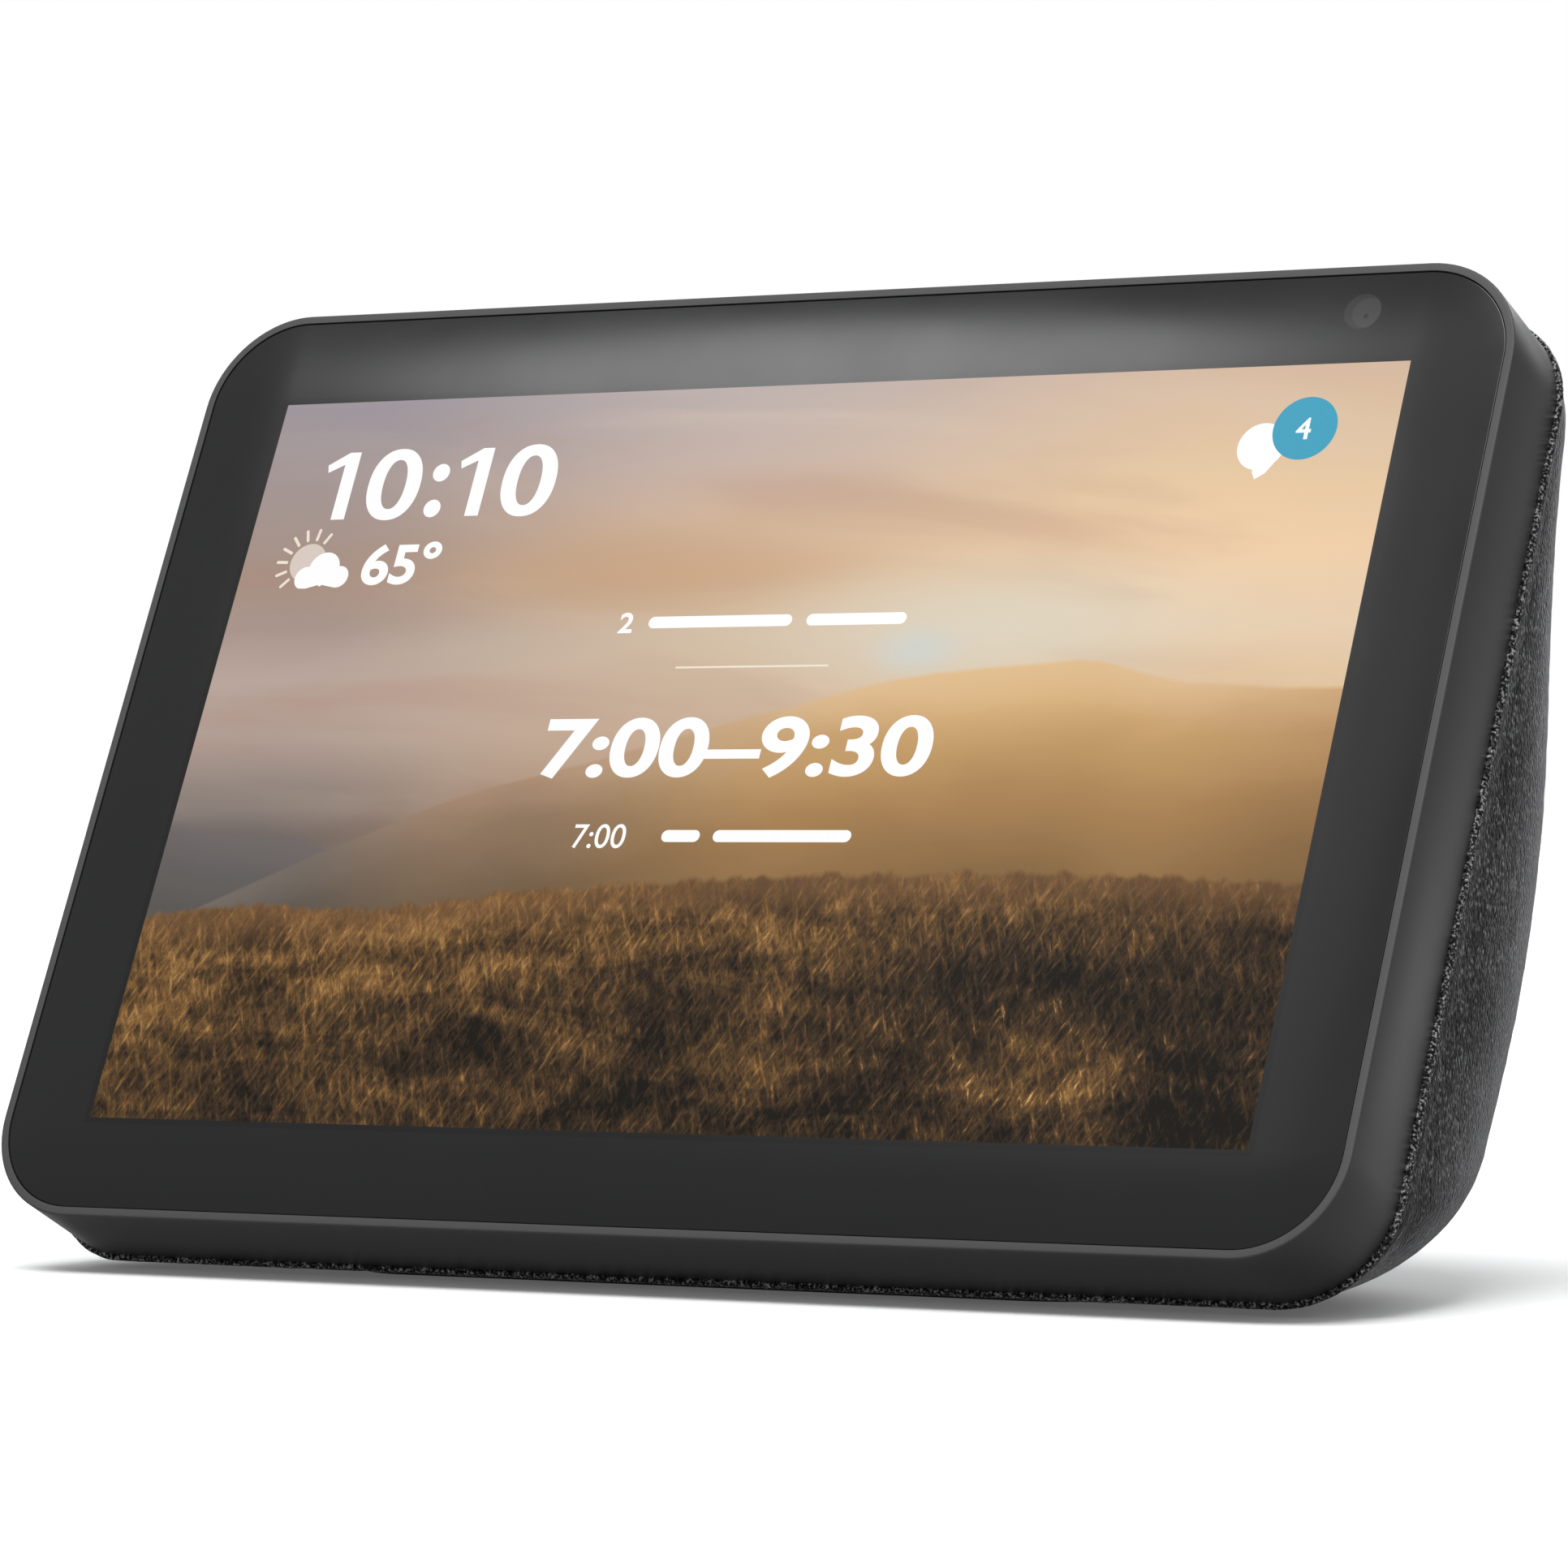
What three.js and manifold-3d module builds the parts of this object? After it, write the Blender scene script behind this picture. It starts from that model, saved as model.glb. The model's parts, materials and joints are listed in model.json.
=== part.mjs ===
// Smart display: an eight inch screen leaning back in a wedge shaped, fabric wrapped speaker housing.
// Millimetres, +Z up, the screen faces -Y, X runs to the right seen from the front. The origin is the
// centre of the footprint on the table.
import * as THREE from "three";
import { mergeVertices } from "three/addons/utils/BufferGeometryUtils.js";
import Module from "manifold-3d";

const wasm = await Module();
wasm.setup();

// ---------------------------------------------------------------- driving dimensions
const WIDTH = 200.4; // across the front frame
const SLANT = 135.9; // height of the front frame, measured up the slope
const DEPTH = 99.1; // front lower edge to the back of the fabric
const CORNER = 14; // corner radius of the front frame
const LEAN = THREE.MathUtils.degToRad(25.2); // the screen leans back from upright
const BAND = 14.3; // depth of the plain band between the glass and the fabric
const SCREEN_HEIGHT = 69.3; // middle of the screen above the table
const GAP = 0.3; // running and assembly gap

const REAR_POLE = 49.2; // height of the rearmost point
const REAR_LOWER_RADIUS = 24; // lower corner radius that the body grows to at the back
const FABRIC = 1.0; // fabric thickness
const SHELL_INSET = FABRIC + GAP; // from the fabric's outside to the shell's outside
const SHELL_WALL = 2.6;

const GLASS = { halfWidth: 98.93, halfSlant: 66.65, radius: 12.7, thickness: 1.1 };
const LEDGE = { front: -2.1, back: -3.3, halfWidth: 97, halfSlant: 64.5, radius: 10.8 };
const FRAME_WALL = 2.0;

const SCREEN = { halfWidth: 92, halfSlant: 57.3, front: -1.4, middle: -3.6, back: -5.6 };
const CHASSIS = { halfWidth: 96.5, halfSlant: 59.95, radius: 9, front: -5.9, back: -6.9, v: -2.05 };

const TOP = SLANT / 2; // the band's top face
const TOP_CENTRE = -7.4; // middle of the band's top face, behind the glass
const THROUGH_TOP = [60, 70]; // a cut from inside the frame to clear above it
const BUTTON = { pitch: 24, halfLength: 5.7, halfDepth: 1.9, proud: 0.45, underside: 64.9, travel: 0.5 };
const BUTTON_PLACES = [["volume_down", -BUTTON.pitch], ["volume_up", 0], ["privacy", BUTTON.pitch]];
const MICS = [["left", -52], ["right", 48]];
const CAMERA = { u: 77.9, v: 61.3, radius: 2.3, body: 3 };
const SHUTTER = { u: 65.9, travel: 7.3, halfLength: 5.2, halfDepth: 1.5, proud: 0.95 };
const TRACK = {
  u0: SHUTTER.u - SHUTTER.halfLength - 1.1,
  u1: SHUTTER.u + SHUTTER.halfLength + SHUTTER.travel + 0.6,
  floor: TOP - 0.6,
  halfDepth: SHUTTER.halfDepth + 0.4,
};

const BOARD = { halfWidth: 62, low: -46, high: 34, front: -9.4, back: -10.8 };
const BOARD_SCREWS = [[-57, -41], [57, -41], [-57, 29], [57, 29]];

const DRIVER = { x: 70.5, y: 22.9, z: 55.5, aim: THREE.MathUtils.degToRad(55), flange: 26.5 };
const BOX = { low: 28.2, high: 83, rear: 38, wall: 2.5, front: -17.6 };
const RADIATOR = { z: 55.5, halfWidth: 31, halfHeight: 21 };
const PORTS = { halfWidth: 18.5, low: 11, high: 27, wallFront: 31.5, wallBack: 33.5 };
const JACK = { x: 8, z: 18.4, bore: 3.2 };
const USB = { x: -8, z: 14.8 };
const FOOT = { halfWidth: 58.5, halfDepth: 24.8, y: -2.8, radius: 12, height: 1.2 };
const BASE = { margin: 2.6, low: 1.5, floor: 4.3, high: 9.6, wall: 2.5 };
const BASE_SCREWS = [[-50, -12], [50, -12], [-50, 12], [50, 12]];

// ---------------------------------------------------------------- materials
function finish(color, roughness, metalness = 0) {
  return new THREE.MeshStandardMaterial({ color, roughness, metalness });
}
const LOOKS = {
  glass: finish(0x1c1c1e, 0.08),
  charcoal: finish(0x3b3b3d, 0.5),
  fabric: finish(0x3f3f41, 0.95),
  innerPlastic: finish(0x202022, 0.6),
  rubber: finish(0x1a1a1a, 0.9),
  board: finish(0x17492c, 0.6),
  steel: finish(0x9a9ca0, 0.35, 1),
  aluminium: finish(0xb4b6ba, 0.4, 1),
  screen: finish(0xb39a86, 0.3),
  paper: finish(0x26262a, 0.8),
  foam: finish(0x151515, 1),
  copper: finish(0xb87333, 0.35, 1),
  lens: finish(0x0a0a12, 0.05),
};

// ---------------------------------------------------------------- frames
const head = new THREE.Group(); // its X and Y lie in the glass, its Z points out of the glass
head.position.set(0, -DEPTH / 2 + (SLANT / 2) * Math.sin(LEAN), SCREEN_HEIGHT);
head.rotation.x = Math.PI / 2 - LEAN;
head.updateMatrixWorld(true);

const display = new THREE.Group();
display.add(head);

// ---------------------------------------------------------------- solids
function clean(geometry) {
  const plain = geometry.index ? geometry.toNonIndexed() : geometry.clone();
  plain.deleteAttribute("normal");
  plain.deleteAttribute("uv");
  return mergeVertices(plain, 1e-4);
}

function solid(geometry) {
  const merged = clean(geometry);
  const mesh = new wasm.Mesh({
    numProp: 3,
    vertProperties: Float32Array.from(merged.attributes.position.array),
    triVerts: Uint32Array.from(merged.index.array),
  });
  mesh.merge();
  return new wasm.Manifold(mesh);
}

function surfaceOf(body) {
  const mesh = body.getMesh();
  const geometry = new THREE.BufferGeometry();
  geometry.setAttribute("position", new THREE.BufferAttribute(mesh.vertProperties, 3));
  geometry.setIndex(new THREE.BufferAttribute(mesh.triVerts, 1));
  return geometry;
}

const joined = (...geometries) => surfaceOf(geometries.map(solid).reduce((a, b) => a.add(b)));

function cut(geometry, ...tools) {
  return surfaceOf(tools.map(solid).reduce((body, tool) => body.subtract(tool), solid(geometry)));
}

const common = (a, b) => surfaceOf(solid(a).intersect(solid(b)));

function add(parent, name, geometry, look) {
  const mesh = new THREE.Mesh(geometry, LOOKS[look]);
  mesh.name = name;
  parent.add(mesh);
  return mesh;
}

// A box from one corner to the other.
function block(x0, x1, y0, y1, z0, z1) {
  const box = new THREE.BoxGeometry(x1 - x0, y1 - y0, z1 - z0);
  return box.translate((x0 + x1) / 2, (y0 + y1) / 2, (z0 + z1) / 2);
}

function roundedShape(halfWidth, halfHeight, radius) {
  const shape = new THREE.Shape();
  const [w, h, r] = [halfWidth, halfHeight, radius];
  shape.moveTo(w - r, -h).absarc(w - r, -h + r, r, -Math.PI / 2, 0, false);
  shape.absarc(w - r, h - r, r, 0, Math.PI / 2, false);
  shape.absarc(-w + r, h - r, r, Math.PI / 2, Math.PI, false);
  shape.absarc(-w + r, -h + r, r, Math.PI, 1.5 * Math.PI, false);
  return shape;
}

// A rounded slab in the XY plane, from z0 to z1.
function slab(halfWidth, halfHeight, radius, z0, z1, x = 0, y = 0, curveSegments = 4) {
  const shape = roundedShape(halfWidth, halfHeight, radius);
  const geometry = new THREE.ExtrudeGeometry(shape, { depth: z1 - z0, bevelEnabled: false, curveSegments });
  return geometry.translate(x, y, z0);
}

// A round bar along Z.
function disc(radius, z0, z1, x = 0, y = 0, sides = 20) {
  const geometry = new THREE.CylinderGeometry(radius, radius, z1 - z0, sides);
  return geometry.rotateX(Math.PI / 2).translate(x, y, (z0 + z1) / 2);
}

// A turned piece about Z from [radius, z] points.
function turned(points, sides = 16) {
  const profile = points.map(([r, z]) => new THREE.Vector2(r, z));
  return new THREE.LatheGeometry(profile, sides).rotateX(Math.PI / 2);
}

// ---------------------------------------------------------------- the wrapped body's form
// The body starts as the outline of the band's back edge. Each point of it runs back, first towards
// its own place on the rear plane and then in a rounded sweep to one pole in the middle of the back.
function rimOutline(halfWidth, halfSlant, topRadius, lowerRadius, arc = 4, side = 4, flat = 5) {
  const points = [];
  const line = (x0, y0, x1, y1, steps) => {
    for (let i = 0; i < steps; i++) {
      points.push([x0 + ((x1 - x0) * i) / steps, y0 + ((y1 - y0) * i) / steps]);
    }
  };
  const bend = (x, y, radius, start) => {
    for (let i = 0; i < arc; i++) {
      const angle = start + (Math.PI / 2) * (i / arc);
      points.push([x + radius * Math.cos(angle), y + radius * Math.sin(angle)]);
    }
  };
  const [w, h, t, b] = [halfWidth, halfSlant, topRadius, lowerRadius];
  line(-w + b, -h, w - b, -h, flat);
  bend(w - b, -h + b, b, -Math.PI / 2);
  line(w, -h + b, w, h - t, side);
  bend(w - t, h - t, t, 0);
  line(w - t, h, -w + t, h, flat);
  bend(-w + t, h - t, t, Math.PI / 2);
  line(-w, h - t, -w, -h + b, side);
  bend(-w + b, -h + b, b, Math.PI);
  return points;
}

// How full each sweep is, from the side round to the top or the underside: 2 is an ellipse, more is
// squarer. The outline itself softens from the frame's rounded rectangle to an even oval at the pole.
const FULL = { side: 2.94, top: 2, underside: 3, ease: 4 };
const OVAL = { power: 2.3, onset: 0.24 };

function fullness(angle) {
  const end = angle > 0 ? FULL.top : FULL.underside;
  return FULL.side + (end - FULL.side) * (1 - Math.cos(angle) ** FULL.ease);
}

function bodyForm(inset, front = -BAND, steps = 8) {
  const halfWidth = WIDTH / 2 - inset;
  const halfSlant = SLANT / 2 - inset;
  const rim = rimOutline(halfWidth, halfSlant, CORNER - inset, CORNER - inset);
  const rear = rimOutline(halfWidth, halfSlant, CORNER - inset, REAR_LOWER_RADIUS - inset);
  const place = ([u, v], w) => new THREE.Vector3(u, v, w).applyMatrix4(head.matrixWorld);
  const rearY = DEPTH / 2 - inset;
  const pole = new THREE.Vector3(0, rearY, REAR_POLE);
  const starts = rim.map((p) => place(p, -BAND));
  const corners = rear.map((p) => {
    const from = place(p, -BAND);
    const drop = ((rearY - from.y) * Math.tan(LEAN) * (p[1] + halfSlant)) / (2 * halfSlant);
    return new THREE.Vector3(from.x, rearY, from.z - drop);
  });
  const above = Math.max(...corners.map((p) => p.z)) - REAR_POLE;
  const below = REAR_POLE - Math.min(...corners.map((p) => p.z));
  const sweeps = starts.map((start, k) => {
    const reach = corners[k].z > REAR_POLE ? above : below;
    const angle = Math.atan2((corners[k].z - REAR_POLE) / reach, corners[k].x / halfWidth);
    const [c, q] = [Math.abs(Math.cos(angle)) ** OVAL.power, Math.abs(Math.sin(angle)) ** OVAL.power];
    const size = Math.pow(c + q, -1 / OVAL.power);
    const [ovalX, ovalZ] = [size * Math.cos(angle) * halfWidth, size * Math.sin(angle) * reach];
    const oval = new THREE.Vector3(ovalX, rearY, REAR_POLE + ovalZ);
    const level = Math.atan2(Math.sin(angle), Math.abs(Math.cos(angle)));
    return { start, corner: corners[k], oval, power: fullness(level) };
  });
  const rings = front > -BAND ? [rim.map((p) => place(p, front))] : [];
  for (let i = 0; i < steps; i++) {
    const along = Math.sin((i / steps) * (Math.PI / 2));
    rings.push(sweeps.map(({ start, corner, oval, power }) => {
      const turn = 1 - Math.pow(1 - Math.pow(along, power), 1 / power);
      const target = corner.clone().lerp(oval, Math.pow(turn, OVAL.onset));
      const point = start.clone().addScaledVector(target.clone().sub(start), along);
      return point.addScaledVector(pole.clone().sub(target), turn);
    }));
  }
  return closeRings(rings, pole);
}

// Joins rings of points into one closed skin: a flat lid on the first ring and a pole after the last.
function closeRings(rings, pole) {
  const count = rings[0].length;
  const centre = rings[0].reduce((sum, p) => sum.add(p), new THREE.Vector3()).divideScalar(count);
  const points = [centre, ...rings.flat(), pole];
  const index = [];
  const at = (ring, k) => 1 + ring * count + (k % count);
  for (let k = 0; k < count; k++) {
    index.push(0, at(0, k), at(0, k + 1));
    for (let ring = 0; ring + 1 < rings.length; ring++) {
      const [a, b, c, d] = [at(ring, k), at(ring, k + 1), at(ring + 1, k), at(ring + 1, k + 1)];
      index.push(a, c, b, b, c, d);
    }
    index.push(at(rings.length - 1, k), points.length - 1, at(rings.length - 1, k + 1));
  }
  const geometry = new THREE.BufferGeometry().setFromPoints(points);
  geometry.setIndex(index);
  return geometry;
}

// A block given in the head's own directions, placed in the world.
const leaning = (...box) => block(...box).applyMatrix4(head.matrixWorld);

// ---------------------------------------------------------------- front frame and glass
// A pill shaped bar along the head's Y, its length along X.
function pill(halfLength, halfDepth, v0, v1, u, w) {
  return slab(halfLength, halfDepth, halfDepth, v0, v1).rotateX(-Math.PI / 2).translate(u, 0, w);
}

// A round bar along the head's Y, in the middle of the band's top face.
function topPin(radius, v0, v1, u, sides = 8) {
  return disc(radius, v0, v1, 0, 0, sides).rotateX(-Math.PI / 2).translate(u, 0, TOP_CENTRE);
}

function frontFrame() {
  const seatGap = 0.25;
  const past = 1;
  const outside = slab(WIDTH / 2, TOP, CORNER, -BAND, 0);
  const glassSeat = slab(
    GLASS.halfWidth + seatGap, GLASS.halfSlant + seatGap, GLASS.radius + seatGap, LEDGE.front, past,
  );
  const window = slab(LEDGE.halfWidth, LEDGE.halfSlant, LEDGE.radius, -BAND - past, 0);
  const inside = slab(
    WIDTH / 2 - FRAME_WALL, TOP - FRAME_WALL, CORNER - FRAME_WALL, -BAND - past, LEDGE.back,
  );
  const buttonHoles = BUTTON_PLACES.map(([, u]) => {
    return pill(BUTTON.halfLength + GAP, BUTTON.halfDepth + GAP, ...THROUGH_TOP, u, TOP_CENTRE);
  });
  const micHoles = MICS.map(([, u]) => topPin(0.6, ...THROUGH_TOP, u));
  const [front, back] = [TOP_CENTRE + TRACK.halfDepth, TOP_CENTRE - TRACK.halfDepth];
  const track = block(TRACK.u0, TRACK.u1, TRACK.floor, THROUGH_TOP[1], back, front);
  const neckSlot = block(
    SHUTTER.u - 1.9, SHUTTER.u + SHUTTER.travel + 1.2, ...THROUGH_TOP, TOP_CENTRE - 0.9, TOP_CENTRE + 0.9,
  );
  return cut(outside, glassSeat, window, inside, track, neckSlot, ...buttonHoles, ...micHoles);
}

add(head, "front_frame", frontFrame(), "charcoal");
add(head, "cover_glass", slab(
  GLASS.halfWidth, GLASS.halfSlant, GLASS.radius, -GLASS.thickness, 0,
), "glass");

function gasket() {
  const { halfWidth, halfSlant, radius, thickness } = GLASS;
  const pad = slab(halfWidth - GAP, halfSlant - GAP, radius - GAP, LEDGE.front + GAP, -thickness - GAP);
  return cut(pad, slab(LEDGE.halfWidth, LEDGE.halfSlant, LEDGE.radius, -BAND, 1));
}
add(head, "glass_gasket", gasket(), "foam");

function screenPlate(back, front) {
  return block(-SCREEN.halfWidth, SCREEN.halfWidth, -SCREEN.halfSlant, SCREEN.halfSlant, back, front);
}
add(head, "lcd_panel", screenPlate(SCREEN.middle, SCREEN.front), "screen");
add(head, "backlight_unit", screenPlate(SCREEN.back, SCREEN.middle - GAP), "aluminium");

// The chassis is notched at the bottom for the screen's cable and lightened by two windows.
add(head, "display_chassis", cut(
  slab(CHASSIS.halfWidth, CHASSIS.halfSlant, CHASSIS.radius, CHASSIS.back, CHASSIS.front, 0, CHASSIS.v),
  block(-30, 30, -62, -52, -9, -4),
  block(-70, -50, 20, 40, -9, -4),
  block(50, 70, 20, 40, -9, -4),
), "steel");

// ---------------------------------------------------------------- buttons, switches and microphones
function buttonCap() {
  const flangeTop = TOP - FRAME_WALL - GAP;
  const cap = pill(BUTTON.halfLength, BUTTON.halfDepth, flangeTop - 0.5, TOP + BUTTON.proud, 0, TOP_CENTRE);
  const [halfLength, halfDepth] = [BUTTON.halfLength + 1.5, BUTTON.halfDepth + 1];
  const flange = block(
    -halfLength, halfLength, BUTTON.underside, flangeTop, TOP_CENTRE - halfDepth, TOP_CENTRE + halfDepth,
  );
  return joined(cap, flange);
}

// The plunger's top stands one press, and a little slack, below the button.
function tactSwitch() {
  const plungerTop = BUTTON.underside - BUTTON.travel - 0.2;
  const bodyTop = plungerTop - 1;
  const body = block(-3, 3, bodyTop - 2.2, bodyTop, TOP_CENTRE - 1.75, TOP_CENTRE + 1.75);
  return joined(body, topPin(1, bodyTop - 0.2, plungerTop, 0, 12));
}

BUTTON_PLACES.forEach(([name, u]) => {
  add(head, `${name}_button`, buttonCap(), "charcoal").position.x = u;
  add(head, `${name}_switch`, tactSwitch(), "steel").position.x = u;
});
add(head, "button_board", block(-34, 34, 59.4, 60.7, -12, -3.9), "board");
MICS.forEach(([side, u]) => {
  const board = cut(block(u - 7, u + 7, 63.6, 64.4, -11, -4), topPin(0.5, ...THROUGH_TOP, u));
  add(head, `mic_board_${side}`, board, "board");
  add(head, `microphone_${side}`, block(u - 2, u + 2, 62, 63.3, TOP_CENTRE - 1.5, TOP_CENTRE + 1.5), "steel");
});

// ---------------------------------------------------------------- camera, shutter and light sensor
function cameraModule() {
  const { u, v, body } = CAMERA;
  const housing = block(u - body, u + body, v - body, v + body, -8, -4.2);
  const collar = disc(CAMERA.radius + GAP, -4.4, -3.4, u, v);
  return joined(housing, collar);
}
const lensProfile = [[0, -3.1], [CAMERA.radius, -3.1], [CAMERA.radius, -2.5], [1.6, -2.2], [0, -2.1]];
add(head, "camera_module", cameraModule(), "innerPlastic");
add(head, "camera_lens", turned(lensProfile, 20).translate(CAMERA.u, CAMERA.v, 0), "lens");
add(head, "light_sensor", block(84.8, 87.4, 60, 62.6, -8, -1.6), "lens");
add(head, "sensor_board", block(70, 91, 58.3, 64.2, -9.5, -8.3), "board");

// A knob on top, a neck through the slot, an arm forward and a thin blade beside the lens.
function cameraShutter() {
  const { u, halfLength, halfDepth, proud } = SHUTTER;
  const blade = block(u + 0.9, u + 7.5, 58.2, 64.2, -1.8, -1.4);
  const arm = block(u - 1.1, u + 1.1, 62.4, 64.2, TOP_CENTRE + 0.6, -1.4);
  const neck = block(u - 1.1, u + 1.1, 62.4, TOP, TOP_CENTRE - 0.6, TOP_CENTRE + 0.8);
  const knob = pill(halfLength, halfDepth, TRACK.floor + GAP, TOP + proud, u, TOP_CENTRE);
  return joined(blade, arm, neck, knob);
}
add(head, "camera_shutter", cameraShutter(), "charcoal");

// ---------------------------------------------------------------- boards behind the screen
add(head, "main_board", cut(
  block(-BOARD.halfWidth, BOARD.halfWidth, BOARD.low, BOARD.high, BOARD.back, BOARD.front),
  ...BOARD_SCREWS.map(([u, v]) => disc(1.7, BOARD.back - 1, BOARD.front + 1, u, v, 10)),
), "board");
BOARD_SCREWS.forEach(([u, v], i) => {
  const screwHead = disc(2.6, BOARD.back - 1.6, BOARD.back - GAP, u, v, 12);
  const shank = disc(1.35, BOARD.back - 0.6, CHASSIS.back - GAP, u, v, 12);
  add(head, `board_screw_${i + 1}`, joined(screwHead, shank), "steel");
});
add(head, "shield_can", block(-22, 22, -26, 14, -13.6, BOARD.back - GAP), "steel");

function heatSink() {
  const plate = block(-30, 30, -30, 18, -15.4, -13.9);
  const finPitch = 8;
  const fins = [-3, -2, -1, 0, 1, 2, 3].map((i) => {
    return block(i * finPitch - 0.8, i * finPitch + 0.8, -28, 16, -17.2, -15.2);
  });
  return joined(plate, ...fins);
}
add(head, "heat_sink", heatSink(), "aluminium");

// A flat flex cable: its side outline in the head's Y and Z, given a width along X.
function ribbon(points, thickness, width, u) {
  const path = points.map(([v, w]) => new THREE.Vector2(v, w));
  const offset = path.map((p, i) => {
    const before = path[Math.max(i - 1, 0)];
    const after = path[Math.min(i + 1, path.length - 1)];
    const normal = new THREE.Vector2(-(after.y - before.y), after.x - before.x).normalize();
    return p.clone().addScaledVector(normal, thickness);
  });
  const shape = new THREE.Shape([...path, ...offset.reverse()]);
  const geometry = new THREE.ExtrudeGeometry(shape, { depth: width, bevelEnabled: false });
  return geometry.rotateY(Math.PI / 2).rotateX(Math.PI / 2).translate(u - width / 2, 0, 0);
}
const FLEX = 0.25;
add(head, "display_cable", ribbon([
  [-57.9, -2.2], [-58.8, -3.2], [-59.2, -5], [-58, -7], [-55, -8.4], [-50, -8.8], [-39, -8.8],
], FLEX, 24, 0), "copper");
add(head, "button_cable", ribbon([
  [59, -8], [52, -8.6], [42, -9], [37, -11.3], [28, -11.6],
], FLEX, 8, -27), "copper");

const ANTENNA = { u: 96.9, thickness: 0.5, halfLength: 24 };
[["left", -1], ["right", 1]].forEach(([side, sign]) => {
  const edges = [sign * ANTENNA.u, sign * (ANTENNA.u + ANTENNA.thickness)].sort((a, b) => a - b);
  add(head, `antenna_${side}`, block(...edges, -ANTENNA.halfLength, ANTENNA.halfLength, -13, -5), "copper");
});

// ---------------------------------------------------------------- rear shell and fabric
const FAR = 200; // beyond the whole object
const behind = (w) => leaning(-FAR, FAR, -FAR, FAR, -FAR, w);
const behindBand = behind(-BAND - GAP);
const portHalf = PORTS.halfWidth + 2 * GAP;
const portWindow = block(-portHalf, portHalf, 20, 60, PORTS.low - 2 * GAP, PORTS.high + 2 * GAP);
const baseWindow = baseSlab(BASE.margin + GAP, -1, BASE.high + 4.4);

// The outline of the base, grown by a margin.
function baseSlab(margin, z0, z1) {
  const { halfWidth, halfDepth, radius, y } = FOOT;
  return slab(halfWidth + margin, halfDepth + margin, radius + margin, z0, z1, 0, y);
}

// Sound slots in the shell, in front of each driver and of the passive radiator.
function soundSlots() {
  const slots = [];
  [-1, 1].forEach((side) => {
    for (let i = -2; i <= 2; i++) {
      const height = 19 - 3.5 * Math.abs(i);
      const slot = block(i * 9 - 2.5, i * 9 + 2.5, -height, height, 2, 40);
      slots.push(slot.applyMatrix4(driverPlace(side)));
    }
  });
  for (let i = -2; i <= 2; i++) {
    slots.push(block(i * 11 - 2.5, i * 11 + 2.5, 40, 60, RADIATOR.z - 16, RADIATOR.z + 16));
  }
  return slots;
}

// Places a driver: its Z points out of the housing, to the side and back.
function driverPlace(side) {
  const axis = new THREE.Vector3(side * Math.cos(DRIVER.aim), Math.sin(DRIVER.aim), 0);
  const across = new THREE.Vector3(0, 0, 1).cross(axis);
  const matrix = new THREE.Matrix4().makeBasis(across, new THREE.Vector3(0, 0, 1), axis);
  return matrix.setPosition(side * DRIVER.x, DRIVER.y, DRIVER.z);
}

const fabricCover = cut(
  common(bodyForm(0, -10), behindBand),
  bodyForm(FABRIC, -5),
  portWindow,
  baseWindow,
);
add(display, "fabric_cover", fabricCover, "fabric");

add(display, "rear_shell", cut(
  common(bodyForm(SHELL_INSET, -10), behindBand),
  bodyForm(SHELL_INSET + SHELL_WALL, -5),
  portWindow,
  baseWindow,
  ...soundSlots(),
), "innerPlastic");

// ---------------------------------------------------------------- base, foot and screws
add(display, "base_plate", cut(
  baseSlab(BASE.margin, BASE.low, BASE.high),
  baseSlab(BASE.margin - BASE.wall, BASE.floor, BASE.high + 1),
  ...BASE_SCREWS.map(([x, y]) => disc(1.9, 0, 9, x, y, 12)),
  ...BASE_SCREWS.map(([x, y]) => disc(3.4, 0, 3, x, y, 12)),
), "innerPlastic");
BASE_SCREWS.forEach(([x, y], i) => {
  const screwHead = disc(3, FOOT.height + 0.4, 2.7, x, y, 12);
  const shank = disc(1.5, 2.5, 12, x, y, 12);
  add(display, `base_screw_${i + 1}`, joined(screwHead, shank), "steel");
});
add(display, "rubber_foot", baseSlab(0, 0, FOOT.height), "rubber");

// ---------------------------------------------------------------- sockets at the back
function alongY(radius, y0, y1, x, z, sides) {
  return disc(radius, y0, y1, 0, 0, sides).rotateX(-Math.PI / 2).translate(x, 0, z);
}

function plateBlock(wall, front) {
  const halfWidth = PORTS.halfWidth - wall;
  return block(-halfWidth, halfWidth, front, 60, PORTS.low + wall, PORTS.high - wall);
}
add(display, "port_plate", cut(
  common(plateBlock(0, PORTS.wallFront), bodyForm(FABRIC / 2)),
  plateBlock(1.5, PORTS.wallBack),
  alongY(JACK.bore + 0.9, 20, 40, JACK.x, JACK.z, 16),
  block(USB.x - 4.4, USB.x + 4.4, 20, 40, USB.z - 2, USB.z + 2),
), "innerPlastic");

function dcJack() {
  const body = block(JACK.x - 5.5, JACK.x + 5.5, 18.5, 31.2, JACK.z - 5.5, JACK.z + 5.5);
  const barrel = alongY(JACK.bore + 2 * GAP, 31, 33.2, JACK.x, JACK.z, 16);
  const bore = alongY(JACK.bore, 22, 34, JACK.x, JACK.z, 16);
  const centrePin = alongY(0.9, 21.5, 27.5, JACK.x, JACK.z, 10);
  return joined(cut(joined(body, barrel), bore), centrePin);
}
add(display, "dc_jack", dcJack(), "innerPlastic");
add(display, "usb_port", cut(
  block(USB.x - 4, USB.x + 4, 26.2, 33, USB.z - 1.6, USB.z + 1.6),
  block(USB.x - 3.6, USB.x + 3.6, 27, 34, USB.z - 1.2, USB.z + 1.2),
), "steel");
add(display, "port_board", block(-17, 17, 12, 30.8, JACK.z - 7.2, JACK.z - 5.8), "board");

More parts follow.
